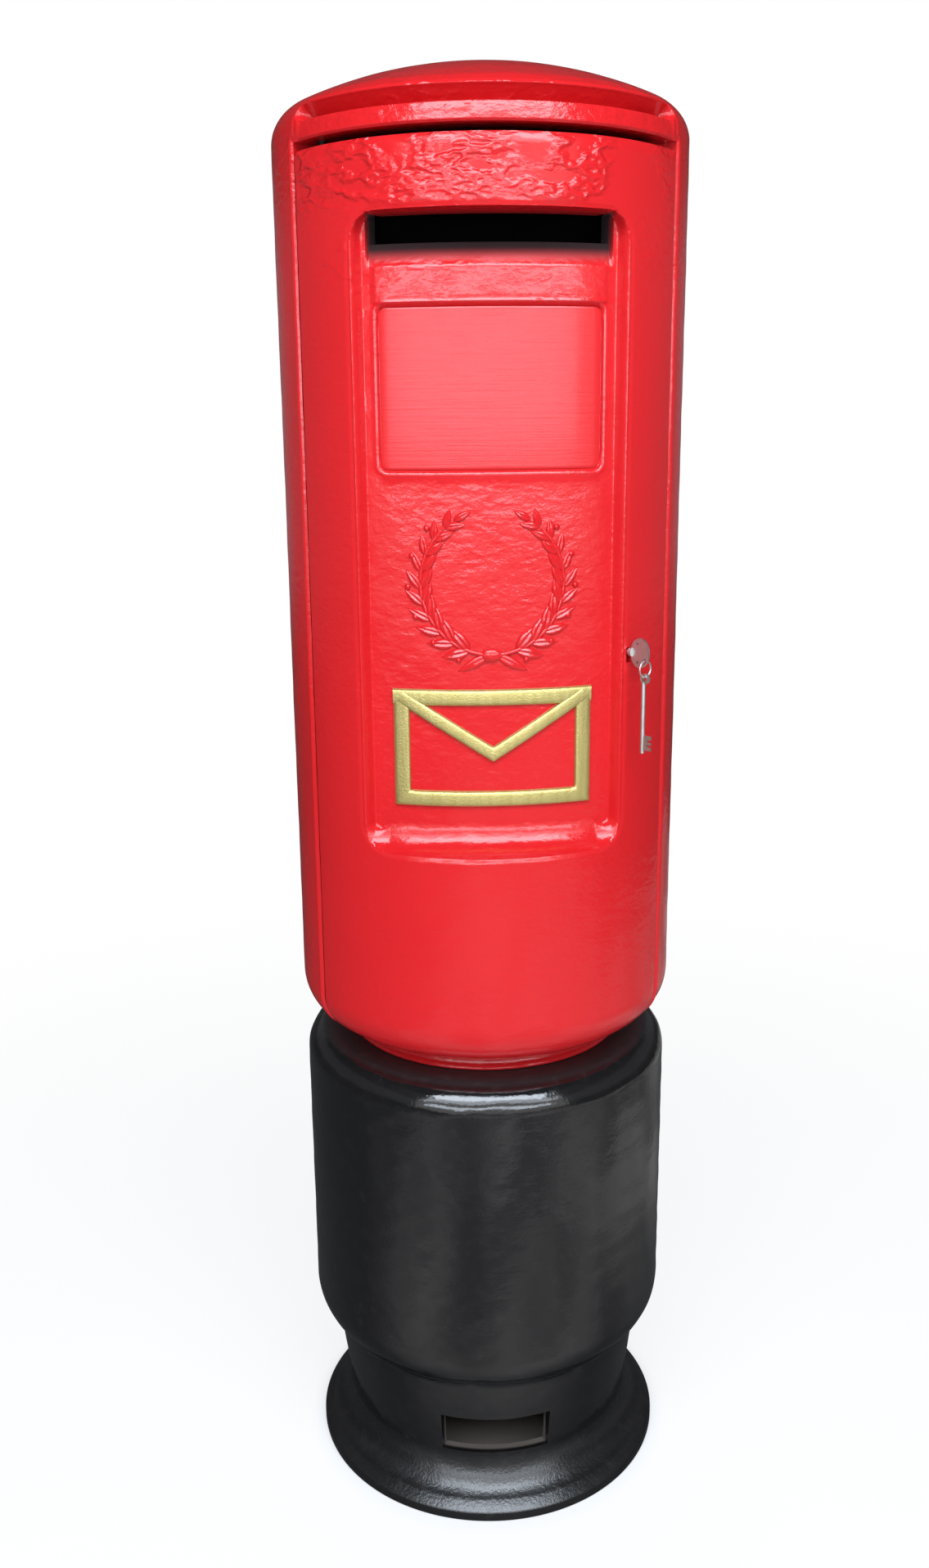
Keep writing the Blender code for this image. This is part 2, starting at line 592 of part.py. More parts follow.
def make_lock():
    """The lock's case and cover, its screws, lever pack, bolt and the keep on the body."""
    low, high = CASE_DEPTH
    half = CASE_HALF_HEIGHT
    case = box("lock_case", (CASE_SIDE[0], -half, low), (CASE_SIDE[1], half, high), BRASS, LOCK_FACE)
    wall = CASE_WALL
    inside = box("case_inside", (CASE_SIDE[0] + wall, -half + wall, low - 0.01),
                 (CASE_SIDE[1] - wall, half - wall, high - wall), frame=LOCK_FACE)
    combine(case, inside, "DIFFERENCE")
    mouth = box("bolt_mouth", (0.05, BOLT_HEIGHT[0] - 0.0006, BOLT_DEPTH[0] - 0.0006),
                (0.09, BOLT_HEIGHT[1] + 0.0006, BOLT_DEPTH[1] + 0.0006), frame=LOCK_FACE)
    combine(case, mouth, "DIFFERENCE")
    for cutter in keyhole_cutters("case", 0.165, 0.190):
        combine(case, cutter, "DIFFERENCE")
    for number, (side, sign) in enumerate(lock_screws()):
        place = LOCK_FACE @ Vector((side, 0, LOCK_SCREW_DEPTH))
        up = Z * sign
        bore = rod(f"case_bore_{number + 1}", place + up * 0.050, place + up * 0.065, LOCK_BORE, sides=12)
        combine(case, bore, "DIFFERENCE")
        screw = rod(f"lock_screw_{number + 1}", place + up * 0.055, place + up * 0.068, LOCK_SCREW, STEEL, 12)
        head_foot = place + up * (CASE_HALF_HEIGHT + RIB_THICK + 2 * GAP)
        head = rod(f"lock_head_{number + 1}", head_foot, head_foot + up * 0.003, 0.005, sides=12)
        combine(screw, head, "UNION")
    cover_low = low - GAP - CASE_WALL
    box("lock_cover", (CASE_SIDE[0], -half, cover_low), (CASE_SIDE[1], half, low - GAP), BRASS, LOCK_FACE)
    for number in range(3):
        depth = 0.1585 + 0.0035 * number
        corners = (-0.022, -0.052, depth), (0.058, -0.016, depth + 0.003)
        box(f"lock_lever_{number + 1}", *corners, BRASS, LOCK_FACE)
    bolt = zip(BOLT_SIDE, BOLT_HEIGHT, BOLT_DEPTH)
    box("lock_bolt", *bolt, STEEL, LOCK_FACE)
    make_keep()


def make_keep():
    """The keep on the body's wall that the bolt shoots into, with its two screws."""
    keep = box("strike_keep", (0.080, 0.004, 0.152), (0.100, 0.048, 0.182), STEEL, LOCK_FACE)
    arm = box("keep_arm", (0.090, 0.004, 0.175), (0.0999, 0.048, 0.201), frame=LOCK_FACE)
    combine(keep, arm, "UNION")
    pad = sector("keep_pad", (0.2175, 0.2268), (64.8, 74.5), (KEY_Z + 0.004, KEY_Z + 0.048), count=4)
    combine(keep, pad, "UNION")
    pocket = box("keep_pocket", (0.07, BOLT_HEIGHT[0] - 0.001, BOLT_DEPTH[0] - 0.001),
                 (0.097, BOLT_HEIGHT[1] + 0.001, BOLT_DEPTH[1] + 0.001), frame=LOCK_FACE)
    combine(keep, pocket, "DIFFERENCE")
    for number, place in enumerate(strike_screws()):
        across = Vector((place.x, place.y, 0)).normalized()
        bore = rod(f"keep_bore_{number + 1}", place - across * 0.03, place + across * 0.03, STRIKE_BORE,
                   sides=12)
        combine(keep, bore, "DIFFERENCE")
        screw = rod(f"strike_screw_{number + 1}", place - across * 0.009, place + across * 0.007,
                    STRIKE_SCREW, STEEL, 12)
        head_foot = place - across * 0.0113
        head = rod(f"strike_head_{number + 1}", head_foot, place - across * 0.0075, 0.0048, sides=12)
        combine(screw, head, "UNION")


def make_keys():
    """The key in the lock, the ring through its bow and the spare key that hangs from the ring."""
    at = Z * KEY_Z
    key = rod("key", OUT * 0.154 + at, OUT * (BOW_DEPTH - 0.011) + at, KEY_SHANK, NICKEL)
    combine(key, rod("key_collar", OUT * 0.2425 + at, OUT * 0.2465 + at, 0.0052, sides=20), "UNION")
    bit = box("key_bit", (-BIT_THICK / 2, -BIT_REACH, 0.1585), (BIT_THICK / 2, 0, 0.168), frame=LOCK_FACE)
    combine(key, bit, "UNION")
    bow = [(BOW_HALF[0] * x, BOW_DEPTH + BOW_HALF[1] * y) for x, y in arc((0, 0), 1, 0, 345, 23)]
    holes = [arc((x, BOW_DEPTH - 0.003), 0.0017, 0, 330, 11) for x in (-0.0105, 0.0105)]
    holes.append(arc(RING_HOLE, 0.0028, 0, 330, 11))
    combine(key, plate("key_bow", [bow, *holes], -0.0014, 0.0014, frame=LOCK_SIDE), "UNION")
    hole = OUT * RING_HOLE[1] + Z * (KEY_Z + RING_HOLE[0])
    ring_centre = hole - Z * RING_RADIUS
    wire = bpy.data.curves.new("key_ring", "CURVE")
    wire.dimensions = "3D"
    wire.bevel_depth = RING_WIRE
    wire.bevel_resolution = 2
    spline = wire.splines.new("POLY")
    circle = arc((0, 0), RING_RADIUS, 90, 90 + 360 * 27 / 28, 27)
    spline.points.add(len(circle) - 1)
    for point, (x, y) in zip(spline.points, circle):
        point.co = (x, y, 0, 1)
    spline.use_cyclic_u = True
    ring = bpy.data.objects.new("key_ring", wire)
    ring.matrix_world = axes(ring_centre, ALONG, Z)
    parts.objects.link(ring)
    wire.materials.append(NICKEL)
    eye = hole - Z * 2 * RING_RADIUS
    make_spare(eye)
    return hole, eye


def make_spare(eye):
    """The spare key. Its shank stands a little behind its eye, so that the bit balances it."""
    frame = axes(eye, Z, OUT)
    eye_z = -0.0015
    outline = arc((eye_z, 0), 0.0062, 0, 345, 23)
    hole = arc((eye_z, 0), 0.0030, 0, 330, 11)
    spare = plate("spare_key", [outline, hole], -0.0013, 0.0013, NICKEL, frame)
    back = OUT * -0.0019
    top = eye + Z * (eye_z - 0.0045) + back
    foot = eye - Z * SPARE_LENGTH + back
    combine(spare, rod("spare_shank", foot, top, 0.0025, sides=12), "UNION")
    tip = -SPARE_LENGTH
    bit = box("spare_bit", (tip + 0.004, -0.0019, -0.0012), (tip + 0.021, 0.0105, 0.0012), frame=frame)
    combine(spare, bit, "UNION")
    for number, low in enumerate((0.0075, 0.0135)):
        corners = (tip + low, 0.0055, -0.003), (tip + low + 0.003, 0.012, 0.003)
        notch = box(f"spare_notch_{number + 1}", *corners, frame=frame)
        combine(spare, notch, "DIFFERENCE")


def carry(name, place, names):
    """An empty on a joint's axis that carries the moving pieces."""
    empty = bpy.data.objects.new(name, None)
    empty.location = place
    parts.objects.link(empty)
    bpy.context.view_layer.update()
    for child in names:
        bpy.data.objects[child].parent = empty
        bpy.data.objects[child].matrix_parent_inverse = empty.matrix_world.inverted()


make_pedestal()
make_body()
make_fixings()
make_lower_pivot()
make_guard()
make_door()
make_panel_pieces()
make_chute()
make_lock()
ring_pivot, spare_pivot = make_keys()
carry("door_hinge", HINGE, ["door", "notice_plate", "wreath_relief", "letter_badge", "upper_pivot_pin",
                            "lower_pivot_pin", "letter_chute", "chute_screw_1", "chute_screw_2", "lock_case",
                            "lock_cover", "lock_lever_1", "lock_lever_2", "lock_lever_3", "lock_screw_1",
                            "lock_screw_2", "lock_screw_3", "lock_screw_4"])
carry("bolt_slide", OUT * 0.164 + Z * KEY_Z, ["lock_bolt"])
carry("key_turn", OUT * BODY_RADIUS + Z * KEY_Z, ["key"])
carry("ring_swing", ring_pivot, ["key_ring"])
carry("spare_swing", spare_pivot, ["spare_key"])
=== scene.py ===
# %% [markdown]
# A red cast-iron pillar letter box on a black pedestal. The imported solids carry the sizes, the joints and
# the collision. This lesson dresses them: the three big castings are worked out again as fine surfaces with
# numpy, the ornament on the door is modelled leaf by leaf, and every surface gets a painted finish.

import bmesh
import bpy
import numpy as np
from mathutils import Matrix, Vector


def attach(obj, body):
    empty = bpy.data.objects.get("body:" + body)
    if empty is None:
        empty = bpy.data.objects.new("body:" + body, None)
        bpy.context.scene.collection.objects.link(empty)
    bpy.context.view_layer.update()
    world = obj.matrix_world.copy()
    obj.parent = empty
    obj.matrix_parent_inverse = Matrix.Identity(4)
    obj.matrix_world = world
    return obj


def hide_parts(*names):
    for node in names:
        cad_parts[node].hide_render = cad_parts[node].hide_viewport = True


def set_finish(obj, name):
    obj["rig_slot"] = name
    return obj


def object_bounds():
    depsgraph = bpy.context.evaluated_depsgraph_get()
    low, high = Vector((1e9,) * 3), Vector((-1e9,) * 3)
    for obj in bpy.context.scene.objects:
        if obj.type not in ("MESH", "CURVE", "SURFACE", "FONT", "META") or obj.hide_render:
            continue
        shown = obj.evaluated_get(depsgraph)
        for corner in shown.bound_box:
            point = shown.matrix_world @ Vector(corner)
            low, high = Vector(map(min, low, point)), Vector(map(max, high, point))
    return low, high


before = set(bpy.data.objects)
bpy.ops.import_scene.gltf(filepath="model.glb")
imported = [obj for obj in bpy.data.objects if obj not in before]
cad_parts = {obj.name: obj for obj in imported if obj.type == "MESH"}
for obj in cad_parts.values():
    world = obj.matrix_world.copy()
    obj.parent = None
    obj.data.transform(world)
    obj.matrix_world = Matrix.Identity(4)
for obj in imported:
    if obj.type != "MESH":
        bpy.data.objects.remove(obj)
cad_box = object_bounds()

# %% [markdown]
# The camera stands a little above the middle of the box and looks down on it, close enough for the lines of
# the wall to draw together towards the ground. Three turns place it: a pan, a tilt down and a small roll.

# %% Camera
PHOTO_LENS, SENSOR_WIDTH = 32.24, 36.0
CAMERA_PLACE = Vector((-0.0952, -1.7581, 1.3964))
CAMERA_PAN, CAMERA_TILT, CAMERA_ROLL = np.radians((2.285, 14.742, 0.562))


def camera_turn(pan, tilt, roll):
    """The camera's axes: forward from pan and tilt, right level with the ground, both turned by roll."""
    ahead = Vector((np.sin(pan) * np.cos(tilt), np.cos(pan) * np.cos(tilt), -np.sin(tilt)))
    right = Vector((np.cos(pan), -np.sin(pan), 0.0))
    up = right.cross(ahead)
    level = Matrix((right, up, -ahead)).transposed().to_4x4()
    return level @ Matrix.Rotation(-roll, 4, "Z")


eye = bpy.data.cameras.new("photo_camera")
eye.lens = PHOTO_LENS
eye.sensor_width = SENSOR_WIDTH
eye_object = bpy.data.objects.new("photo_camera", eye)
eye_turn = camera_turn(CAMERA_PAN, CAMERA_TILT, CAMERA_ROLL)
eye_object.matrix_world = Matrix.Translation(CAMERA_PLACE) @ eye_turn
bpy.context.scene.collection.objects.link(eye_object)
bpy.context.scene.camera = eye_object
print("camera at", tuple(round(value, 3) for value in CAMERA_PLACE))

# %% [markdown]
# The body is one casting: a shallow domed roof, a rounded shoulder, a straight wall, a rounded foot and a
# narrow neck with a lip. It could be spun from a curve by a modifier. Here it starts as a list of points of
# radius and height, from the top down, because the door has to share its curves. The inner profile has as
# many points, a wall's thickness further in.

# %% Body profile
BODY_RADIUS, HEIGHT = cad_box[1][0], cad_box[1][2]
WALL = 0.012
WALL_IN = BODY_RADIUS - WALL
SHOULDER, SHOULDER_Z = 0.040, 1.692
FOOT_Z, FOOT_ROUND = 0.640, 0.055
FOOT_TOP = FOOT_Z + FOOT_ROUND
OPENING_TOP, OPENING_AZIMUTH = 1.680, 60.6
SILL_RADIUS, BORE = 0.1875, 0.12
BROW_INSIDE, BROW_STEP = 0.203, (1.662, 1.676)
ROOF_ROWS, BROW_ROWS, WALL_ROWS, FOOT_ROWS, NECK_ROWS = 90, 14, 86, 24, 44
NECK_LINE = [(0.1845, FOOT_Z), (0.1765, FOOT_Z + 0.0005), (0.1740, 0.637), (0.1740, 0.629), (0.1750, 0.6235),
             (0.1780, 0.6205), (0.1795, 0.6185), (0.1790, 0.6160), (0.1770, 0.6155), (BORE, 0.6155)]
NECK_INSIDE = [(0.1845, 0.652), (BORE, 0.652)]
ROOF_INSIDE = [(0, HEIGHT - 0.014), (0.11, HEIGHT - 0.028), (0.197, 1.712), (BROW_INSIDE, 1.700)]


def arc(centre, radius, first, last, count):
    """Points of an arc in the plane of radius and height, angles in degrees."""
    turn = np.radians(np.linspace(first, last, count))
    return np.stack([centre[0] + radius * np.cos(turn), centre[1] + radius * np.sin(turn)], axis=-1)


def resample(corners, count):
    """A run of count points along a bent line, evenly by length."""
    corners = np.asarray(corners, float)
    along = np.concatenate([[0], np.cumsum(np.hypot(*np.diff(corners, axis=0).T))])
    where = np.linspace(0, along[-1], count)
    return np.stack([np.interp(where, along, corners[:, axis]) for axis in (0, 1)], axis=-1)


def straight_run(radius, heights):
    """Points at heights, with one radius for all or one for each."""
    return np.stack(np.broadcast_arrays(radius, heights), axis=-1)


def roof_line(rows):
    """The cap's arc and the shoulder's arc, which share a tangent."""
    rise = HEIGHT - SHOULDER_Z - SHOULDER
    reach = BODY_RADIUS - SHOULDER
    cap = (reach**2 + rise**2) / (2 * rise) + SHOULDER
    middle = HEIGHT - cap
    join = np.degrees(np.arctan2(SHOULDER_Z - middle, reach))
    cap_rows = rows // 3
    shoulder = arc((reach, SHOULDER_Z), SHOULDER, join, 0, rows - cap_rows)
    return np.concatenate([arc((0, middle), cap, 90, join, cap_rows + 1)[:-1], shoulder])


def foot_line(radius, to_radius, rows):
    """The foot's arc from the wall in to a smaller radius."""
    centre = (BODY_RADIUS - FOOT_ROUND, FOOT_TOP)
    last = -np.degrees(np.arccos(np.clip((to_radius - centre[0]) / radius, -1, 1)))
    return arc(centre, radius, 0, last, rows)


wall_z = np.linspace(OPENING_TOP, FOOT_TOP, WALL_ROWS, endpoint=False)
brow_z = np.linspace(SHOULDER_Z, OPENING_TOP, BROW_ROWS + 1)[1:-1]
brow_inside_z = np.linspace(1.699, OPENING_TOP + 0.001, BROW_ROWS - 1)
body_outer = np.concatenate([
    roof_line(ROOF_ROWS),
    straight_run(BODY_RADIUS, brow_z),
    straight_run(BODY_RADIUS, wall_z),
    foot_line(FOOT_ROUND, SILL_RADIUS, FOOT_ROWS),
    resample(NECK_LINE, NECK_ROWS),
])
body_inner = np.concatenate([
    resample(ROOF_INSIDE, ROOF_ROWS),
    straight_run(BROW_INSIDE, brow_inside_z),
    straight_run(np.interp(wall_z, BROW_STEP, (WALL_IN, BROW_INSIDE)), wall_z),
    foot_line(FOOT_ROUND - WALL, SILL_RADIUS, FOOT_ROWS),
    resample(NECK_INSIDE, NECK_ROWS),
])
print("body profile", len(body_outer), "points")

# %% [markdown]
# In front the roof has a sunk cove with a plain brow band under it, and below that the wall is open for the
# door. These could be carved. Here the profile is turned about the axis into a grid, and the cove, the band
# and the rolled edges of thick paint round the opening are small changes of the radius, faded in and out by
# smooth steps, so that one grid holds them all.

# %% Body skin
COVE_FLOOR, COVE_FLARE, COVE_FLARE_Z = 0.2130, 1.05, 1.7005
COVE_FOOT, COVE_HEAD, COVE_END = (1.6995, 1.7008), (1.7150, 1.7180), (58.2, 59.3)
COVE_CORNER, COVE_MIDDLE, COVE_HALF = 1.5, 1.7085, 0.009
BROW_LEAN, BROW_FOOT, BROW_TALL = 0.0023, 1.682, 0.0175
LIP_PROUD, EDGE_IN = 0.0010, 0.0020
BEAD_PROUD, GROOVE_DEPTH, BROW_END_PROUD = 0.0016, 0.0022, 0.0012
NEAREST_LINES = 2e-4
BODY_LUMPS = 0.00022
WAVES = (
    (1.0, (41, 0, 23, 0.4), (0, -19, 37, 0.0)),
    (0.7, (83, 0, -61, 1.3), (0, 67, 71, 0.6)),
    (0.5, (47, 0, 131, 2.1), (113, -97, 0, 0.0)),
)


def ease(value, start, end):
    """A smooth step from 0 at start to 1 at end."""
    t = np.clip((value - start) / (end - start), 0, 1)
    return t * t * (3 - 2 * t)


def bell(value, centre, width):
    """A bell curve of height 1."""
    return np.exp(-(((value - centre) / width) ** 2))


def around(radius, azimuth, height):
    """Points from radius, azimuth in degrees from the front, and height."""
    turn = np.radians(azimuth)
    return np.stack(np.broadcast_arrays(radius * np.sin(turn), -radius * np.cos(turn), height), axis=-1)


def cast_waves(points, size):
    """A gentle unevenness of hand-made castings: a sum of waves, each the product of two slanted sines."""
    x, y, z = np.moveaxis(points, -1, 0)
    wave = 0
    for strength, *pair in WAVES:
        one, other = [np.sin(a * x + b * y + c * z + start) for a, b, c, start in pair]
        wave = wave + strength * one * other
    return size * wave


def merge_lines(*spans, at=()):
    """Grid lines from runs of (first, last, step) and single lines, sorted, with near doubles dropped."""
    runs = [np.linspace(a, b, max(2, int(round(abs(b - a) / step)) + 1)) for a, b, step in spans]
    lines = np.unique(np.round(np.concatenate([*runs, at]), 6))
    return lines[np.concatenate([[True], np.diff(lines) > NEAREST_LINES])]


def brow_and_cove(radius, height, side):
    """The radius in front of the roof: the cove is cut to a floor that flares upward, the brow band under it
    leans back, a thin lip stands over it and the band's lower edge is rolled in."""
    corner = COVE_CORNER * np.clip((height - COVE_MIDDLE) / COVE_HALF, -1, 1) ** 2
    inside = 1 - ease(side, COVE_END[0] - corner, COVE_END[1] - corner)
    above = ease(height, *COVE_FOOT)
    cove = above * (1 - ease(height, *COVE_HEAD))
    floor = np.minimum(radius, COVE_FLOOR + COVE_FLARE * np.clip(height - COVE_FLARE_Z, 0, 1))
    lean = BROW_LEAN * np.clip((height - BROW_FOOT) / BROW_TALL, 0, 1) * (1 - above)
    lip = LIP_PROUD * bell(height, 1.7200, 0.0022)
    edge = EDGE_IN * (1 - ease(height, 1.6800, 1.6825)) * bell(height, 1.680, 0.0025)
    return radius + ((floor - radius) * cove - lean + lip - edge) * inside


def opening_edges(height, side):
    """Added to the radius beside the door: a bead, a groove inside it, and the ends of the brow band."""
    wall = (1 - ease(height, 1.700, 1.716)) * ease(height, 0.648, 0.668)
    below = (1 - ease(height, 1.678, 1.690)) * wall
    bead = BEAD_PROUD * bell(side, 61.75, 0.62)
    groove = GROOVE_DEPTH * (1 - ease(side, 60.55, 61.15)) * ease(side, 59.4, 60.55)
    brow_end = BROW_END_PROUD * bell(side, 60.0, 0.5) * wall * ease(height, 1.682, 1.69)
    return (bead - groove) * below + brow_end


def body_skin(profile, turns):
    """The turned profile with its front worked out and the unevenness of the casting added."""
    height, side = profile[:, 1:], np.abs(turns)[None, :]
    radius = brow_and_cove(profile[:, :1], height, side) + opening_edges(height, side)
    points = around(radius, turns[None, :], height)
    lumps = cast_waves(points, BODY_LUMPS)
    return points + around(lumps, turns[None, :], 0.0) * ease(radius, 0.05, 0.15)[..., None]


body_turns = merge_lines((-179, 180, 2.5), (-64, -57, 0.25), (57, 64, 0.25), (-57, 57, 1.9),
                         at=(-OPENING_AZIMUTH, OPENING_AZIMUTH))
body_front = body_skin(body_outer, body_turns)
print("body skin", body_front.shape)

# %% [markdown]
# The castings are thick shells. Modifiers could make them, but leave uneven faces at holes. Here the outer
# and the inner skin are grids with the same rows and columns. Faces left out of both open a hole, and
# wherever a kept face has no neighbour, a narrow face joins the two skins. So a door opening, a slot and a
# window all close by the same rule.

# %% Thick shells from two grids
MERGE_DISTANCE = 1e-6


def grid_quads(rows, columns, wrap):
    """Quads of a grid, each from top left down, right and up, as an array by row, column and corner."""
    index = np.arange(rows * columns).reshape(rows, columns)
    beside = np.roll(index, -1, axis=1)
    quads = np.stack([index[:-1], index[1:], beside[1:], beside[:-1]], axis=-1)
    return quads if wrap else quads[:, :-1]


def shell(front, back, keep, wrap):
    """Points and quads: outer faces, inner faces turned over, and a face along every free edge."""
    rows, columns = front.shape[:2]
    outer = grid_quads(rows, columns, wrap)[keep]
    count = rows * columns
    start = outer.reshape(-1)
    end = np.roll(outer, -1, axis=1).reshape(-1)
    free = ~np.isin(start * count + end, end * count + start)
    rim = np.stack([end[free], start[free], start[free] + count, end[free] + count], axis=-1)
    points = np.concatenate([front.reshape(-1, 3), back.reshape(-1, 3)])
    return points, np.concatenate([outer, outer[:, ::-1] + count, rim])


def make_piece(name, form, body, slot, nodes, sharp=38.0):
    """A piece from points and quads: doubles merged, shaded smooth, riding on a body."""
    points, faces = form
    mesh = bpy.data.meshes.new(name)
    mesh.from_pydata(points.tolist(), [], faces.tolist())
    work = bmesh.new()
    work.from_mesh(mesh)
    bmesh.ops.remove_doubles(work, verts=work.verts, dist=MERGE_DISTANCE)
    bmesh.ops.recalc_face_normals(work, faces=work.faces)
    work.to_mesh(mesh)
    work.free()
    mesh.shade_smooth()
    mesh.set_sharp_from_angle(angle=np.radians(sharp))
    piece = bpy.data.objects.new(name, mesh)
    bpy.context.scene.collection.objects.link(piece)
    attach(piece, body)
    if nodes:
        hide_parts(*nodes)
    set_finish(piece, slot)
    print(name, len(mesh.polygons), "faces")
    return piece


# %% [markdown]
# Now the body itself. The faces of the front are left out from under the brow down to the sill. Beside the
# hinge the inner skin is drawn back, which bevels the edge and gives the door room to turn.

# %% Body
HINGE_BEVEL, HINGE_JAMB, HINGE_SPREAD = 2.4, -61.5, 1.6
LINE_SLACK = 1e-6

inner_turns = body_turns - HINGE_BEVEL * bell(body_turns, HINGE_JAMB, HINGE_SPREAD)
body_back = around(body_inner[:, :1], inner_turns[None, :], body_inner[:, 1:])
opening_first = ROOF_ROWS + BROW_ROWS - 1
opening_last = opening_first + WALL_ROWS + FOOT_ROWS - 1
in_front = (body_turns >= -OPENING_AZIMUTH - LINE_SLACK) & (body_turns < OPENING_AZIMUTH - LINE_SLACK)
body_keep = np.ones((len(body_outer) - 1, body_turns.size), bool)
body_keep[opening_first:opening_last, in_front] = False
body_form = shell(body_front, body_back, body_keep, True)
body_piece = make_piece("body_casting", body_form, "pillar", "red_enamel", ["body_shell"])

# %% [markdown]
# The door is a third of the wall, so it starts as the same cylinder and rounded foot. Its recess is a depth
# added along Y, which is simpler than carving: it runs from nothing at a rounded outline to the curve of
# the panel, straight down the sloping cheeks and along a quarter round at the sill. Under the slot the face
# slopes in from a sharp crest, with a raised band below it, and the notice pocket is a shallow step.

# %% Door face
PANEL_RADIUS, PANEL_FRONT, PANEL_WALL, PANEL_REACH = 0.350, -0.205, 0.012, 0.3
RECESS_HALF, RECESS_TOP, RECESS_BOTTOM, RECESS_CORNER = 0.149, 1.601, 0.9066, 0.030
RECESS_MIDDLE, RECESS_ROLL = 1.25, 0.0016
HEAD_ROUND, CHEEK_SLOPE, SILL_ROUND = 0.0016, 0.013, 0.034
SLOT_HALF, SLOT_LOW, SLOT_HIGH, SLOT_FADE = 0.1275, 1.571, 1.600, 0.004
LIP_CREST, LIP_DEPTH = 1.547, 0.010
BAND_FOOT, BAND_ENDS, BAND_PROUD = (1.5085, 1.5125), (0.122, 0.128), 0.0020
NOTICE_HALF, NOTICE_LOW, NOTICE_HIGH, NOTICE_CORNER = 0.122, 1.336, 1.509, 0.009
POCKET_DEPTH, POCKET_RIM = 0.0040, 0.0010


def panel_y(x):
    """The panel's face: a wide arc across the door."""
    return PANEL_FRONT + PANEL_RADIUS - np.sqrt(PANEL_RADIUS**2 - np.minimum(np.abs(x), PANEL_REACH) ** 2)


def rounded_distance(x, z, half, low, high, corner):
    """Signed distance to a rectangle with round corners, and how much its nearest edge faces up or down."""
    away_x = np.abs(x) - (half - corner)
    away_z = np.maximum(z - (high - corner), (low + corner) - z)
    out_x, out_z = np.maximum(away_x, 0), np.maximum(away_z, 0)
    distance = np.hypot(out_x, out_z) + np.minimum(np.maximum(away_x, away_z), 0) - corner
    both = (away_x > 0) & (away_z > 0)
    upright = np.where(both, out_z**2 / np.maximum(out_x**2 + out_z**2, 1e-12), away_z > away_x)
    return distance, upright


def recess_share(distance, upright, z):
    """How far the recess has come from wall to panel: a quarter round at its ends, a slope at its sides."""
    ends = np.where(z > RECESS_MIDDLE, HEAD_ROUND, SILL_ROUND)
    width = CHEEK_SLOPE * (1 - upright) + ends * upright
    t = np.clip(-distance / width, 0, 1)
    return upright * np.sqrt(1 - (1 - t) ** 2) + (1 - upright) * (0.75 * t + 0.25 * ease(t, 0, 1))


def door_face(x, wall_y, z):
    """The Y of the door's face: wall, recess, lip of the slot, band and notice pocket."""
    distance, upright = rounded_distance(x, z, RECESS_HALF, RECESS_BOTTOM, RECESS_TOP, RECESS_CORNER)
    share = recess_share(distance, upright, z)
    y = wall_y + share * (panel_y(x) - wall_y)
    y = y + RECESS_ROLL * (1 - ease(distance, -0.0005, 0.006)) * (distance > -0.0005) * (1 - share)
    across = 1 - ease(np.abs(x), SLOT_HALF, SLOT_HALF + SLOT_FADE)
    slope = np.clip((z - LIP_CREST) / (SLOT_LOW - LIP_CREST), 0, 1)
    y = y + LIP_DEPTH * across * slope * (z < SLOT_HIGH + LINE_SLACK)
    y = y - BAND_PROUD * ease(z, *BAND_FOOT) * (1 - slope) * (1 - ease(np.abs(x), *BAND_ENDS))
    step, _ = rounded_distance(x, z, NOTICE_HALF, NOTICE_LOW, NOTICE_HIGH, NOTICE_CORNER)
    return y + POCKET_DEPTH * (1 - ease(step, -0.0030, 0.0006)) - POCKET_RIM * bell(step, 0.0030, 0.0020)


print("panel depth", round(BODY_RADIUS + float(panel_y(0.0)), 4))

# %% [markdown]
# The posting slot and the keyhole are holes in the door's grid. Its lines are close together where the face
# turns quickly and far apart where it is plain, and some lie exactly on the edges of the holes.

# %% Door
DOOR_AZIMUTH, DOOR_TOP, DOOR_EDGE_ROLL, DOOR_TOP_ROLL = 59.8, 1.671, 0.0022, 0.0030
DOOR_FOOT_RADIUS, DOOR_FOOT_ROWS = 0.190, 20
KEY_AZIMUTH, KEY_Z = 40.6, 1.1336
KEYHOLE_HALF, KEYHOLE_LOW, KEYHOLE_HIGH = 0.0036, KEY_Z - 0.0125, KEY_Z + 0.0045

door_x = merge_lines((-0.116, 0.116, 0.0042), (-0.1575, -0.116, 0.0013), (0.116, 0.1575, 0.0013))
edge_turns = np.radians(merge_lines((41.6, 58.6, 1.1), (58.6, DOOR_AZIMUTH, 0.2)))
key_turns = np.radians(KEY_AZIMUTH) + np.array([-KEYHOLE_HALF, KEYHOLE_HALF]) / BODY_RADIUS
slot_turns = np.arcsin(np.array([-SLOT_HALF, SLOT_HALF]) / BODY_RADIUS)
door_turns = [-edge_turns, np.arcsin(door_x / BODY_RADIUS), edge_turns, key_turns, slot_turns]
door_turns = np.unique(np.round(np.concatenate(door_turns), 6))
door_z = merge_lines(
    (DOOR_TOP, 1.606, 0.006), (1.606, 1.594, 0.0006), (1.594, 1.540, 0.0018), (1.540, 1.515, 0.004),
    (1.515, 1.504, 0.0009), (1.504, 1.341, 0.008), (1.341, 1.331, 0.0009), (1.331, 0.950, 0.010),
    (0.950, 0.900, 0.0016), (0.900, FOOT_TOP, 0.010),
    at=(KEYHOLE_LOW, KEYHOLE_HIGH, SLOT_LOW, SLOT_HIGH, LIP_CREST))[::-1]


def door_line(radius, foot_radius):
    """A profile of the door: straight down, then along the foot."""
    foot = foot_line(foot_radius, DOOR_FOOT_RADIUS, DOOR_FOOT_ROWS)[1:]
    return np.concatenate([straight_run(radius, door_z), foot])


